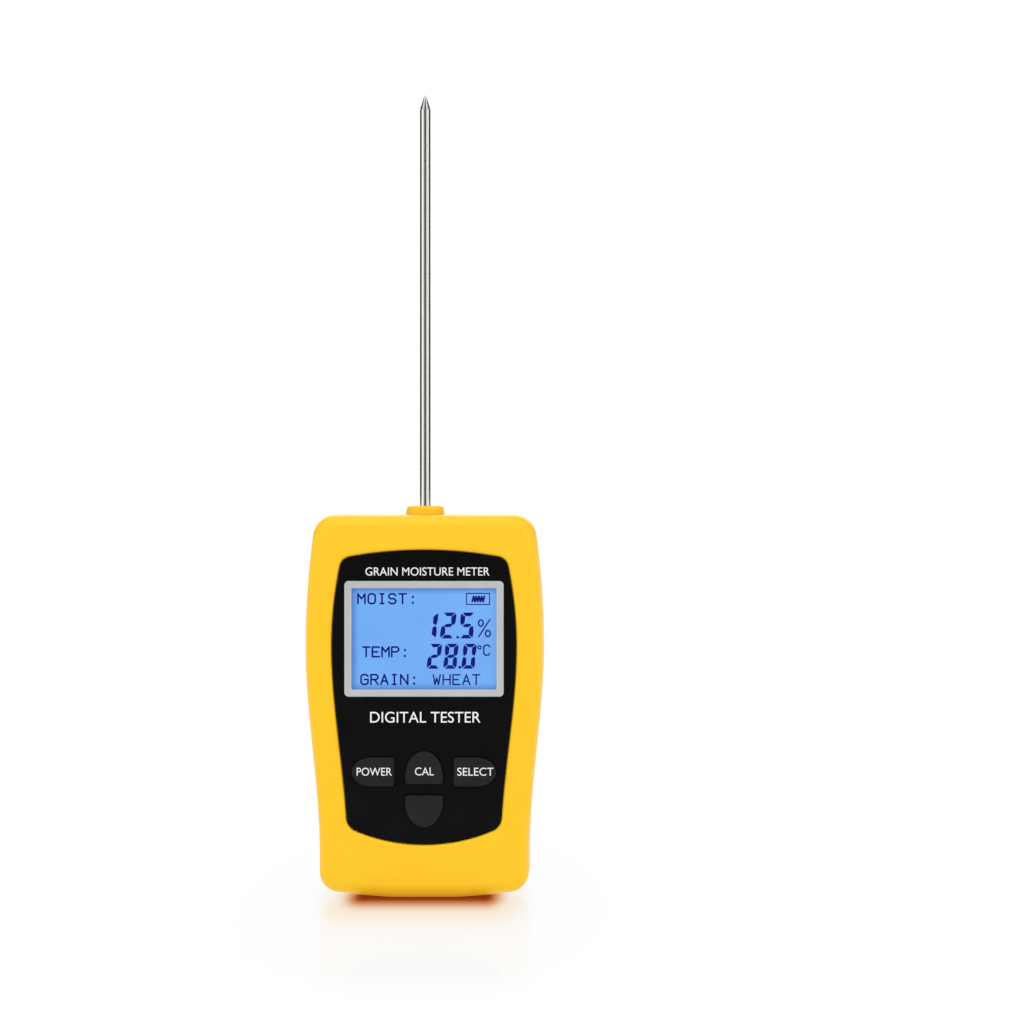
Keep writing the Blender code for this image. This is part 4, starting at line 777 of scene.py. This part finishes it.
def battery_door():
    """A flush plate with hooks at the bottom, a latch tongue at the top, grip grooves and an arrow."""
    middle, inner_face, edge = (COVER_LOW + COVER_HIGH) / 2, BACK_Y - COVER_THICK, 0.35 * MM
    outline = rounded_rectangle(2 * COVER_HALF_WIDTH, COVER_HIGH - COVER_LOW, 2.0 * MM, middle)
    rings = [ring(outline, inner_face, 0.2 * MM), ring(outline, inner_face + 0.2 * MM)]
    for angle in quarter(5):
        rings.append(ring(outline, BACK_Y - edge * (1 - math.sin(angle)), edge * (1 - math.cos(angle))))
    door = solid("battery_door", add_rings, rings)

    profile = [(13.4, 14.9), (14.7, 14.9), (14.7, 17.6), (15.8, 17.6), (15.8, 19.3), (13.4, 19.3)]
    hooks = []
    for x in (-HOOK_X, HOOK_X):
        hooks.append(([[Vector((x + dx, y * MM, z * MM)) for y, z in profile] for dx in (-3 * MM, 3 * MM)],))
    shape(door, "UNION", "cover_hooks", add_rings, *hooks)
    tongue = rounded_rectangle(10.4 * MM, 6.0 * MM, 1.4 * MM, COVER_HIGH - 0.2 * MM)
    face = BACK_Y - 0.5 * MM
    shape(door, "UNION", "latch_tongue", add_rings,
          ([ring(tongue, 14.95 * MM, 0.1 * MM), ring(tongue, 15.05 * MM), ring(tongue, face - 0.3 * MM),
            ring(tongue, face - 0.1 * MM, 0.1 * MM), ring(tongue, face, 0.3 * MM)],))
    grooves = []
    for i in range(5):
        z = COVER_HIGH - (8 + 2.4 * i) * MM
        groove = rounded_rectangle((16 - 1.6 * i) * MM, 1.1 * MM, 0.5 * MM, z, 6)
        grooves.append((groove, face, BACK_Y, 0.2 * MM))
    shape(door, "DIFFERENCE", "grip_grooves", flared_prism, *grooves)
    tip, wide = COVER_HIGH - 26 * MM, 3.2 * MM
    arrow = [Vector((-wide, tip - 4 * MM)), Vector((wide, tip - 4 * MM)), Vector((0, tip))]
    shape(door, "DIFFERENCE", "arrow_mark", add_prism, (arrow, BACK_Y - 0.25 * MM, BACK_Y + 1 * MM))
    even_shading(door)
    fit(door, "battery_cover_body", "yellow_case", "battery_cover")


def screws():
    """Pan heads with a cross recess, at the bottom of the holes in the back."""
    radius, head, shank = 2.75 * MM, 2.2 * MM, 1.25 * MM
    pitch, depth = 1.0 * MM, 0.22 * MM
    for i, post_place in enumerate(CASE_POSTS):
        node = f"case_screw_{i + 1}"
        tip, y_head = low(node).y, high(node).y
        under = y_head - head
        profile = [(0, y_head), (radius * 0.5, y_head)]
        profile += rounded_corner(radius, under + 0.3 * MM, 8, radius * 0.5, y_head)[::-1][1:]
        profile += [(radius, under), (shank, under)]
        for k in range(int((under - tip - 3 * MM) / pitch)):
            at = under - 0.6 * MM - k * pitch
            profile += [(shank, at), (shank - depth, at - pitch * 0.3), (shank - depth, at - pitch * 0.7)]
        profile += [(shank, tip + shank), (0, tip)]
        screw = solid(f"cross_head_screw_{i + 1}", add_turned, profile, post_place, "Y", 48, smooth=30)
        arm, half, floor_y = radius * 0.52, radius * 0.12, y_head - head * 0.6
        hub = Vector(post_place)
        cross = []
        for quarter_turn in range(4):
            turn = Matrix.Rotation(math.radians(90 * quarter_turn + 20 * i), 2)
            cross += [turn @ Vector(p) + hub for p in ((arm, -half), (arm, half), (half, half))]
        bottom = [Vector((hub.x + (p.x - hub.x) * 0.4, floor_y, hub.y + (p.y - hub.y) * 0.4)) for p in cross]
        shape(screw, "DIFFERENCE", "cross_recess", add_rings, ([bottom, ring(cross, y_head + 0.2 * MM)],))
        fit(screw, "case", "screw_steel", node)


# ---- fascia and display -------------------------------------------------------------------------
def fascia_sheet():
    outline = fascia_outline()
    edge, gap, flare = 0.25 * MM, 0.1 * MM, 0.12 * MM
    rings = []
    for angle in quarter(5):
        rings.append(ring(outline, FASCIA_FRONT + edge * (1 - math.cos(angle)), edge * (1 - math.sin(angle))))
    sheet = solid("fascia_sheet", add_rings, rings + [ring(outline, FASCIA_BACK)])
    opening = rounded_rectangle(BEZEL_SIZE[0] + 2 * gap, BEZEL_SIZE[1] + 2 * gap, 1.6 * MM + gap, DISPLAY_Z)
    holes = []
    for hole in [opening] + [key_outline(name, gap) for name in KEYS]:
        holes.append(([ring(hole, FASCIA_FRONT - 1 * MM, -flare), ring(hole, FASCIA_FRONT, -flare),
                       ring(hole, FASCIA_FRONT + flare), ring(hole, FASCIA_BACK + 1 * MM)],))
    shape(sheet, "DIFFERENCE", "fascia_openings", add_rings, *holes)
    even_shading(sheet)
    return fit(sheet, "case", "black_fascia", "fascia_plate")


def frame_ring(frame_size, radius, y, grow=0.0):
    return ring(rounded_rectangle(frame_size[0] + 2 * grow, frame_size[1] + 2 * grow, radius, DISPLAY_Z), y)


def display_surround():
    """The silver frame: rounded outside, with a step down to the window inside."""
    front, back, edge = BEZEL_FRONT, FASCIA_BACK, 0.45 * MM
    rings = [frame_ring(BEZEL_SIZE, 1.6 * MM, back)]
    for angle in quarter(6):
        grow = -edge * (1 - math.cos(angle))
        rings.append(frame_ring(BEZEL_SIZE, 1.6 * MM + grow / 2, front + edge * (1 - math.sin(angle)), grow))
    rings.append(frame_ring(BEZEL_SIZE, 1.3 * MM, front, -edge - 0.2 * MM))
    rings.append(frame_ring(VIEW_SIZE, 0.7 * MM, front, edge + 0.2 * MM))
    for angle in quarter(6):
        grow = edge * (1 - math.sin(angle))
        rings.append(frame_ring(VIEW_SIZE, 0.4 * MM + grow / 2, front + edge * (1 - math.cos(angle)), grow))
    lip = LENS_FRONT - GAP
    rings += [frame_ring(VIEW_SIZE, 0.4 * MM, lip), frame_ring(LENS_SIZE, 0.8 * MM, lip, GAP),
              frame_ring(LENS_SIZE, 0.8 * MM, back, GAP)]
    piece = solid("display_surround", add_rings, rings, True)
    even_shading(piece)
    fit(piece, "case", "silver_bezel", "display_bezel")


def display_window():
    corner, edge, back = 0.6 * MM, 0.15 * MM, high("display_lens").y
    rings = []
    for y, grow in ((LENS_FRONT, -edge), (LENS_FRONT + edge, 0.0), (back - edge, 0.0), (back, -edge)):
        rings.append(frame_ring(LENS_SIZE, corner, y, grow))
    fit(solid("display_window", add_rings, rings, smooth=20), "case", "clear_lens", "display_lens")


def lcd_panel():
    """Two sheets of glass, the rear one with a connecting ledge at its top and bottom."""
    full, corner, edge = (size("lcd_cell").x, size("lcd_cell").z), 0.3 * MM, 0.1 * MM
    middle = (LCD_FRONT + LCD_BACK) / 2
    front_size = (full[0], full[1] - 3.0 * MM)
    rings = []
    for y, grow in ((LCD_FRONT, -edge), (LCD_FRONT + edge, 0.0), (middle, 0.0)):
        rings.append(frame_ring(front_size, corner, y, grow))
    for y, grow in ((middle, -edge), (middle + edge, 0.0), (LCD_BACK, 0.0)):
        rings.append(frame_ring(full, corner, y, grow))
    fit(solid("lcd_panel", add_rings, rings, smooth=20), "case", "lcd_cell", "lcd_cell")


# Each pair of digits is a point on a grid 4 wide and 6 high, and each word is one stroke.
LETTERS = {
    "A": "002640 1232", "C": "4536160501103041", "E": "46060040 0333", "G": "45361605011030414323",
    "H": "0006 4046 0343", "I": "1030 1636 2026", "M": "0006234640", "N": "00064046",
    "O": "010516364541301001", "P": "00063645443303", "R": "00063645443303 2340",
    "S": "011030414233130405163645", "T": "0646 2620", "W": "0610243046",
}
LETTER_SIZE = (2.6 * MM, 3.6 * MM)  # between the middles of the strokes
DIGITS = {"0": "abcdef", "1": "bc", "2": "abged", "5": "afgcd", "8": "abcdefg"}
# The corners of three of the seven segments, on a digit 1 wide and 2 high; the others mirror these.
TOP_SEGMENT = ((0.1, 2.0), (0.93, 2.0), (0.7, 1.72), (0.32, 1.72))
SIDE_SEGMENT = ((0.98, 1.94), (1.03, 1.75), (1.03, 1.4), (0.98, 1.12), (0.9, 1.03), (0.71, 1.14),
                (0.68, 1.4), (0.68, 1.67))
MIDDLE_SEGMENT = ((0.17, 0.99), (0.4, 1.13), (0.7, 1.14), (0.83, 1.02), (0.62, 0.87), (0.34, 0.86))
SLANT = 0.1


def on_display(x, below):
    """A place on the display, from x to the right of the window's left edge and below its top edge."""
    return Vector((x - VIEW_SIZE[0] / 2, LCD_FRONT, DISPLAY_Z + VIEW_SIZE[1] / 2 - below))


def add_ink(bm, outline):
    """A flat mark, a little proud of the display."""
    add_prism(bm, outline, LCD_FRONT - 0.04 * MM, LCD_FRONT + 0.01 * MM)


def stroke(points, width, cyclic=False):
    """Round-ended bars along the lines between the points."""
    bm = bmesh.new()
    ends = points[1:] + points[:1] if cyclic else points[1:]
    for start, end in zip(points, ends):
        along = math.atan2(end.z - start.z, end.x - start.x)
        outline = []
        for place, first in ((end, along - math.pi / 2), (start, along + math.pi / 2)):
            for i in range(9):
                a = first + math.pi * i / 8
                outline.append(Vector((place.x + width / 2 * math.cos(a), place.z + width / 2 * math.sin(a))))
        add_ink(bm, outline)
    return make("stroke", bm)


def strokes_of(letter, origin, letter_size, width):
    strokes = []
    for path in LETTERS[letter].split():
        pairs = [(int(path[k]), int(path[k + 1])) for k in range(0, len(path), 2)]
        points = [origin + Vector((a / 4 * letter_size[0], 0, b / 6 * letter_size[1])) for a, b in pairs]
        strokes.append(stroke(points, width))
    return strokes


def letters(word, x, below, pitch, width):
    """A word whose first letter's left edge is x from the window's left and whose foot is below its top."""
    strokes = []
    for i, letter in enumerate(word):
        origin = on_display(x + i * pitch + width / 2, below - width / 2)
        if letter != ":":
            strokes += strokes_of(letter, origin, LETTER_SIZE, width)
            continue
        for height in (0.15 * MM, 2.35 * MM):
            dot = origin + Vector((LETTER_SIZE[0] / 2, 0, height))
            strokes.append(stroke([dot, dot + Vector((0, 0, 0.25 * MM))], 0.76 * MM))
    return strokes


def flip_x(corners):
    return [(1 - a, b) for a, b in corners]


def flip_z(corners):
    return [(a, 2 - b) for a, b in corners]


SEGMENTS = {
    "a": TOP_SEGMENT, "b": SIDE_SEGMENT, "c": flip_z(SIDE_SEGMENT), "d": flip_z(TOP_SEGMENT),
    "e": flip_x(flip_z(SIDE_SEGMENT)), "f": flip_x(SIDE_SEGMENT), "g": MIDDLE_SEGMENT,
}


def digit(bm, figure, right, baseline, width, height, slant=SLANT):
    """A seven-segment figure whose upper right corner is at right."""
    for segment in DIGITS[figure]:
        outline = []
        for a, b in SEGMENTS[segment]:
            x = right + (a - 1) * width + (b - 2) * slant * height / 2
            place = on_display(x, baseline - b / 2 * height)
            outline.append(Vector((place.x, place.z)))
        add_ink(bm, outline)


def oval(x, below, half_width, half_height, width):
    middle = on_display(x, below)
    turn = [2 * math.pi * i / 24 for i in range(24)]
    points = [middle + Vector((half_width * math.cos(a), 0, half_height * math.sin(a))) for a in turn]
    return stroke(points, width, True)


def battery_mark():
    """The battery's outline with a hatched filling."""
    x0, x1, z0, z1 = 42.8 * MM, 51.45 * MM, 2.0 * MM, 6.15 * MM
    box = [on_display(x, z) for x, z in ((x0, z0), (x1, z0), (x1, z1), (x0, z1))]
    hatch = []
    for i in range(10):
        hatch.append(on_display((44.95 + 0.51 * i) * MM, (3.15 if i % 2 else 5.05) * MM))
    return [stroke(box, 0.38 * MM, True), stroke(hatch, 0.72 * MM)]


WORDS = (  # text, its left edge, its foot below the window's top, pitch and stroke width, in millimetres
    ("MOIST:", 1.85, 6.1, 3.85, 0.64),
    ("TEMP:", 3.6, 26.0, 3.63, 0.64),
    ("GRAIN:", 3.0, 36.35, 3.72, 0.64),
    ("WHEAT", 30.1, 36.35, 3.69, 0.54),
)
READINGS = (  # each figure with its right edge, then the baseline, width and height, in millimetres
    ((("1", 32.2), ("2", 39.0), ("5", 46.0)), 18.85, 5.1, 9.7),
    ((("2", 33.6), ("8", 39.8), ("0", 46.6)), 30.2, 4.7, 9.35),
)
DECIMAL_POINTS = ((39.5, 18.4, 0.5), (40.3, 29.65, 0.56))  # right, below and radius, in millimetres


def lcd_figures():
    strokes = []
    for word, *sizes in WORDS:
        strokes += letters(word, *(value * MM for value in sizes))
    strokes += battery_mark()
    strokes += [oval(48.2 * MM, 13.1 * MM, 0.85 * MM, 1.2 * MM, 0.56 * MM),
                oval(50.8 * MM, 17.0 * MM, 0.9 * MM, 1.15 * MM, 0.56 * MM),
                stroke([on_display(51.6 * MM, 11.7 * MM), on_display(47.4 * MM, 18.2 * MM)], 0.52 * MM),
                oval(47.7 * MM, 22.2 * MM, 0.6 * MM, 0.6 * MM, 0.46 * MM)]
    strokes += strokes_of("C", on_display(49.3 * MM, 25.1 * MM), (2.2 * MM, 3.75 * MM), 0.54 * MM)
    bm = bmesh.new()
    for figures, baseline, width, height in READINGS:
        for figure, right in figures:
            digit(bm, figure, right * MM, baseline * MM, width * MM, height * MM)
    for x, below, radius in DECIMAL_POINTS:
        place = on_display(x * MM, below * MM)
        add_ink(bm, circle(radius * MM, place.x, place.z))
    strokes.append(make("segments", bm))
    fit(join("lcd_figures", strokes), "case", "lcd_cell", paint=DARK_SEGMENTS)

    bm = bmesh.new()
    for right in (9.6 * MM, 16.5 * MM, 23.4 * MM):
        digit(bm, "8", right, 18.3 * MM, 5.1 * MM, 8.6 * MM, 0.0)
    fit(make("lcd_unlit_figures", bm), "case", "lcd_cell", paint=UNLIT_SEGMENTS)


# ---- keys and print -----------------------------------------------------------------------------
def keycap(name):
    """A key with a softly pillowed top, a rounded edge, a flange behind the case floor and a stem."""
    outline = key_outline(name)
    top, edge, pillow = low(name).y, 0.7 * MM, 0.12 * MM
    middle = Vector((centre(name).x, centre(name).z))
    flange_front = FLOOR_BACK + GAP
    flange_back = flange_front + 1.0 * MM
    rings = [[Vector((middle.x, top, middle.y))]]
    rim = inset(outline, edge)
    for i in range(1, 9):
        share = i / 9
        rings.append([Vector((middle.x + (p.x - middle.x) * share, top + pillow * share**3,
                              middle.y + (p.y - middle.y) * share)) for p in rim])
    for angle in quarter(8):
        rings.append(ring(outline, top + pillow + edge * (1 - math.cos(angle)), edge * (1 - math.sin(angle))))
    rings += [ring(outline, flange_front), ring(outline, flange_front, -KEY_FLANGE),
              ring(outline, flange_back, -KEY_FLANGE)]
    cap = solid(f"{name}cap", add_rings, rings, smooth=50)
    stem = 2.5 * MM
    profile = ((0, flange_back - 0.4 * MM), (stem, flange_back - 0.4 * MM), (stem, flange_back + 0.6 * MM),
               (stem - 0.1 * MM, flange_back + 0.7 * MM), (0, flange_back + 0.7 * MM))
    shape(cap, "UNION", "key_stem", add_turned, (profile, middle, "Y", 40))
    return fit(cap, f"{name}_body", "grey_key", name)


def print_on(name, text, target, place, wide, tall, body, slot):
    """White lettering, wide by tall, centred at place (x, z) and laid on the target's front."""
    curve = bpy.data.curves.new(name, "FONT")
    curve.body = text
    curve.align_x = "CENTER"
    curve.extrude = 0.5
    curve.resolution_u = 6
    lettering = to_mesh(add_object(name, curve))
    vertices = lettering.data.vertices
    lows = [min(v.co[k] for v in vertices) for k in (0, 1)]
    highs = [max(v.co[k] for v in vertices) for k in (0, 1)]
    surface = BVHTree.FromObject(target, bpy.context.evaluated_depsgraph_get())
    for vertex in vertices:
        x = place[0] + ((vertex.co.x - lows[0]) / (highs[0] - lows[0]) - 0.5) * wide
        z = place[1] + ((vertex.co.y - lows[1]) / (highs[1] - lows[1]) - 0.5) * tall
        hit = surface.ray_cast(Vector((x, FRONT_Y - 20 * MM, z)), Vector((0, 1, 0)))[0]
        proud = PRINT_THICK if vertex.co.z > 0 else -PRINT_THICK / 2
        vertex.co = (x, hit.y - proud, z)
    bm = bmesh.new()
    bm.from_mesh(lettering.data)
    bpy.data.objects.remove(lettering)
    fit(make(name, bm, 30), body, slot, paint=WHITE_PRINT)


# ---- probe --------------------------------------------------------------------------------------
def collar():
    """The moulded collar on the top wall, slightly tapered, with a round upper edge and a flange inside."""
    top, wall = COLLAR_TOP, BODY_HEIGHT
    bore, edge, neck = PROBE_RADIUS + GAP, 1.2 * MM, COLLAR_RADIUS - 0.3 * MM
    flange, socket = 9.0 * MM, 3.3 * MM
    rounded = [(neck - edge * (1 - math.cos(a)), top - edge * (1 - math.sin(a))) for a in quarter(10)]
    profile = [(socket, wall - 7.8 * MM), (flange, wall - 7.8 * MM), (flange, wall - 2.8 * MM),
               (COLLAR_RADIUS, wall - 2.8 * MM), (COLLAR_RADIUS, wall + 0.3 * MM), *rounded,
               (bore + 0.25 * MM, top), (bore + 0.07 * MM, top - 0.07 * MM), (bore, top - 0.25 * MM),
               (bore, top - 0.7 * MM), (socket, top - 0.7 * MM)]
    piece = solid("tapered_collar", add_turned, profile, PROBE_AXIS, "Z", ROUND, True)
    even_shading(piece)
    fit(piece, "case", "yellow_case", "probe_collar")


def probe():
    """The steel tube, and the point, turned to a slightly bulging cone, on a spigot inside it."""
    inner, chamfer = 1.55 * MM, 0.03 * MM
    profile = ((inner, TUBE_LOW), (PROBE_RADIUS - 0.1 * MM, TUBE_LOW), (PROBE_RADIUS, TUBE_LOW + 0.1 * MM),
               (PROBE_RADIUS, TUBE_HIGH - chamfer), (PROBE_RADIUS - chamfer, TUBE_HIGH), (inner, TUBE_HIGH))
    tube = solid("steel_tube", add_turned, profile, PROBE_AXIS, "Z", ROUND, True)
    fit(tube, "case", "probe_steel", "probe_tube")

    shoulder, spigot = TUBE_HIGH + 0.1 * MM, 1.4 * MM
    length, foot = PROBE_TIP_Z - shoulder, low("probe_tip").z
    profile = [(0, foot), (spigot, foot), (spigot, shoulder), (PROBE_RADIUS - chamfer, shoulder)]
    for i in range(19):
        share = i / 20
        profile.append((PROBE_RADIUS * (1 - share) ** 0.85 - 0.01 * MM, shoulder + chamfer + length * share))
    profile += [(0.15 * MM, PROBE_TIP_Z - 0.09 * MM), (0.08 * MM, PROBE_TIP_Z - 0.02 * MM), (0, PROBE_TIP_Z)]
    point = solid("turned_point", add_turned, profile, PROBE_AXIS, smooth=40)
    fit(point, "case", "probe_steel", "probe_tip")


# ---- battery compartment ------------------------------------------------------------------------
def cells():
    """Two cells, head to tail: a round-edged bare base, a wrapped can and a raised positive nub."""
    radius, nub = CELL_RADIUS, 2.7 * MM
    base_edge = ((1.4, 0.0), (0.9, 0.05), (0.5, 0.12), (0.12, 0.35), (0.0, 0.7))  # in from the side, up
    for name, toward in (("battery_left", 1), ("battery_right", -1)):
        base, nub_end = (low(name).z, high(name).z)[::toward]
        shoulder = nub_end - toward * 1.2 * MM
        profile = [
            (0, base),
            *((radius - inward * MM, base + toward * up * MM) for inward, up in base_edge),
            (radius, shoulder - toward * 0.9 * MM),
            *rounded_corner(radius, shoulder - toward * 0.5 * MM, 6, radius - 0.5 * MM, shoulder),
            (radius - 1.3 * MM, shoulder - toward * 0.1 * MM),
            (nub + 0.5 * MM, shoulder - toward * 0.25 * MM),
            (nub, shoulder - toward * 0.15 * MM),
            *rounded_corner(nub, shoulder + toward * 0.8 * MM, 6, nub - 0.4 * MM, nub_end),
            (0, nub_end),
        ]
        axis = Vector((centre(name).x, CELL_Y))
        cell = solid(name.replace("battery", "cell"), add_turned, profile, axis, smooth=50)
        wrap = cell_wrap(f"{name}_wrap", base + (shoulder - base) * 0.71, toward > 0)
        fit(cell, "case", "blue_cell_wrap", name, paint=wrap)
        cell.data.materials.append(PAINTS["tin_part"])
        for face in cell.data.polygons:
            if (Vector(face.center).xy - axis).length < radius - 0.95 * MM:
                face.material_index = 1


def contact_springs():
    """Conical coils of round wire, whose end turns lie closer together."""
    radius, turns, per_turn = 0.32 * MM, 4, 40
    first, last = (smooth_step(t, -0.12, 1.12) for t in (0, 1))
    for name, x in (("lower_contact_spring", -CELL_X), ("upper_contact_spring", CELL_X)):
        bottom, top = low(name).z + radius, high(name).z - radius
        z_base, z_end = (bottom, top) if x < 0 else (top, bottom)
        samples = []
        for i in range(turns * per_turn + 1):
            t = i / (turns * per_turn)
            angle = 2 * math.pi * turns * t
            coil = (4.6 - 1.9 * t) * MM
            level = (smooth_step(t, -0.12, 1.12) - first) / (last - first)
            samples.append(Vector((x + coil * math.cos(angle), CELL_Y + coil * math.sin(angle),
                                   z_base + (z_end - z_base) * level)))
        spring = to_mesh(wire(name.replace("contact", "coil"), samples, radius))
        spring.data.shade_smooth()
        fit(spring, "case", "spring_steel", name)


# ---- the rest of the CAD nodes ------------------------------------------------------------------
def finish_cad_nodes():
    """Every CAD node gets its slot's material, and each key's dome is replaced by a grey silicone copy of itself,
    fixed to the case.
    """
    for part in frame["record"]["subparts"]:
        for material_slot in NODES[part["node"]].material_slots:
            material_slot.material = PAINTS[part["material_slot"]]
    for key in KEYS:
        short = key.replace("_key", "")
        dome = NODES[f"{short}_dome"]
        soft = add_object(f"{short}_soft_dome", dome.data.copy())
        fit(soft, "case", "grey_silicone", dome.name)
        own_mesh(soft)


# ---- studio -------------------------------------------------------------------------------------
def softbox(name, place, wide, tall, watts):
    """A soft light that faces the middle of the meter."""
    light = bpy.data.lights.new(name, "AREA")
    light.shape = "RECTANGLE"
    light.size, light.size_y = wide, tall
    light.energy = watts
    made = add_object(name, light)
    made.location = place
    made.rotation_euler = (Vector((0, 0, 90 * MM)) - made.location).to_track_quat("-Z", "Y").to_euler()


def black_card(name, first, last, radius, z_low, z_high):
    """A curved black card that only reflections see, between two angles from straight behind the camera."""
    bm = bmesh.new()
    columns = []
    for i in range(13):
        angle = math.radians(first + (last - first) * i / 12)
        x, y = radius * math.sin(angle), -radius * math.cos(angle)
        columns.append((bm.verts.new((x, y, z_low)), bm.verts.new((x, y, z_high))))
    for left, right in zip(columns, columns[1:]):
        bm.faces.new((left[0], right[0], right[1], left[1]))
    card = make(name, bm)
    paint = Paint(name, 1.0, Specular_IOR_Level=0.0)
    paint.colour(paint.noise(50 * MM), (0.07, 0.068, 0.062), (0.08, 0.078, 0.07))
    card.data.materials.append(paint.material)
    for kind in ("camera", "diffuse", "shadow", "transmission"):
        setattr(card, f"visible_{kind}", False)


def white_plane(name, height, paint):
    reach = 12.0
    bm = bmesh.new()
    corners = [(-reach, -reach), (reach, -reach), (reach, reach), (-reach, reach)]
    bm.faces.new([bm.verts.new((x, y, height)) for x, y in corners])
    plane = make(name, bm)
    plane.data.materials.append(paint.material)
    return plane


def base_distance(paint):
    """Distance along the floor from a line under the base's front edge, as a share of 250 mm.

    It grows fastest sideways. It places the floors' painted contact shadow and the mirror's fade.
    """
    away = paint.place
    steps = (("ADD", (0, 10 * MM, 0)), ("ABSOLUTE", (0, 0, 0)), ("SUBTRACT", (23 * MM, 2 * MM, 0)),
             ("MAXIMUM", (0, 0, 0)), ("MULTIPLY", (5, 1, 1)))
    for operation, amount in steps:
        away = paint.sums("ShaderNodeVectorMath", operation, away, amount)
    away = paint.sums("ShaderNodeVectorMath", "LENGTH", away, (0, 0, 0), "Value")
    return paint.remap(away, 0.0, 1.0, 0.0, 250 * MM)


def floor():
    """A white floor that lights the meter, under one that the camera sees, which mirrors the meter faintly.

    Both carry a painted contact shadow: the lighting floor's glow is dimmed and tinted orange near the base,
    and the seen floor's glow turns dark orange-brown there.
    The mirror image and this dark line of contact both fade with the distance from the base.
    """
    paint = Paint("lit_floor")
    # painted shade under the meter: the lighting floor's glow is dimmed and orange by the base, so the case's
    # underside is shaded as by a contact shadow
    under = (0.0, (0.5, 0.3, 0.15)), (0.03, (0.75, 0.6, 0.5)), (0.09, grey(1))
    paint.show(paint.node("ShaderNodeEmission", Color=paint.ramp(base_distance(paint), *under)))
    white_plane("lit_floor", -0.06 * MM, paint)

    paint = Paint("floor")
    share = base_distance(paint)
    # painted contact shadow: dark orange-brown by the base, whitening outward; its orange is partly a painted
    # reflection of the yellow case
    contact = ((0.0, (0.2, 0.02, 0.0)), (0.038, (0.33, 0.04, 0.01)), (0.087, (0.68, 0.3, 0.14)),
               (0.134, (0.88, 0.67, 0.55)), (0.18, (0.97, 0.88, 0.78)), (0.35, grey(1)))
    levels = ((0.0, 0.05), (0.05, 0.08), (0.13, 0.16), (0.3, 0.16), (0.5, 0.07), (0.8, 0.05), (1.0, 0.0))
    fade = [(at, grey(level)) for at, level in levels]
    glow = paint.node("ShaderNodeEmission", Color=paint.ramp(share, *contact))
    mirror = paint.node("ShaderNodeBsdfGlossy", Roughness=paint.remap(paint.noise(40 * MM), 0.07, 0.1))
    blend = paint.node("ShaderNodeMixShader", Fac=paint.ramp(share, *fade))
    paint.set(blend.inputs[1], glow.outputs[0])
    paint.set(blend.inputs[2], mirror.outputs[0])
    paint.show(blend)
    seen = white_plane("floor", -0.02 * MM, paint)
    for kind in ("diffuse", "glossy", "shadow"):
        setattr(seen, f"visible_{kind}", False)


def studio():
    bpy.context.scene.view_settings.view_transform = "Standard"
    world = bpy.data.worlds.new("studio")
    bpy.context.scene.world = world
    world.use_nodes = True
    world.node_tree.nodes["Background"].inputs["Color"].default_value = (1, 1, 1, 1)
    world.node_tree.nodes["Background"].inputs["Strength"].default_value = 1.0

    floor()
    softbox("front_box", (0, -1.4, 0.5), 1.0, 0.6, 1.9)
    softbox("top_box", (0, -0.3, 0.95), 1.2, 0.15, 1.6)
    softbox("left_box", (-0.75, -0.3, 0.3), 0.15, 0.9, 0.5)
    softbox("right_box", (0.75, -0.3, 0.3), 0.15, 0.9, 0.5)
    softbox("back_box", (0, 1.4, 0.6), 1.0, 0.6, 1.9)
    black_card("card_behind_camera", -22, 22, 0.75, 0.02, 1.2)
    black_card("card_left", -152, -76, 0.25, BODY_HEIGHT + 3 * MM, 0.6)
    black_card("card_right", 76, 152, 0.25, BODY_HEIGHT + 3 * MM, 0.6)

    camera_data = bpy.data.cameras.new("camera")
    camera_data.sensor_width = 36.0
    camera_data.lens = 111.6
    camera_data.clip_start = 0.01
    camera = add_object("camera", camera_data)
    camera.location = (32.85 * MM, -1200 * MM, 144.0 * MM)
    camera.rotation_euler = (math.radians(90), 0, 0)
    bpy.context.scene.camera = camera


# ---- everything ---------------------------------------------------------------------------------
LEGENDS = {  # text, its width, then how far right of the key's centre and above it, in millimetres
    "power_key": ("POWER", 13.1, 0.5, 0.2),
    "cal_key": ("CAL", 7.0, 0.2, -1.3),
    "select_key": ("SELECT", 13.5, 0.2, 0.2),
}
PLATE_PRINTS = (  # name, text, right of the middle, below the fascia's top, width, height, in millimetres
    ("title_print", "GRAIN MOISTURE METER", 1.3, 7.9, 46.3, 3.1),
    ("lower_print", "DIGITAL TESTER", 0.5, 62.3, 41.2, 4.1),
)


def main():
    finish_cad_nodes()
    front_shell()
    rear_shell()
    battery_door()
    screws()
    sheet = fascia_sheet()
    display_surround()
    display_window()
    lcd_panel()
    lcd_figures()
    for name in KEYS:
        cap = keycap(name)
        if name in LEGENDS:
            text, wide, aside, lift = LEGENDS[name]
            place = (centre(name).x + aside * MM, centre(name).z + lift * MM)
            print_on(name.replace("key", "legend"), text, cap, place, wide * MM, 3.0 * MM, f"{name}_body",
                     "grey_key")
    for name, text, aside, below, wide, tall in PLATE_PRINTS:
        place = (aside * MM, FASCIA_HIGH - below * MM)
        print_on(name, text, sheet, place, wide * MM, tall * MM, "case", "black_fascia")
    collar()
    probe()
    cells()
    contact_springs()
    studio()


main()
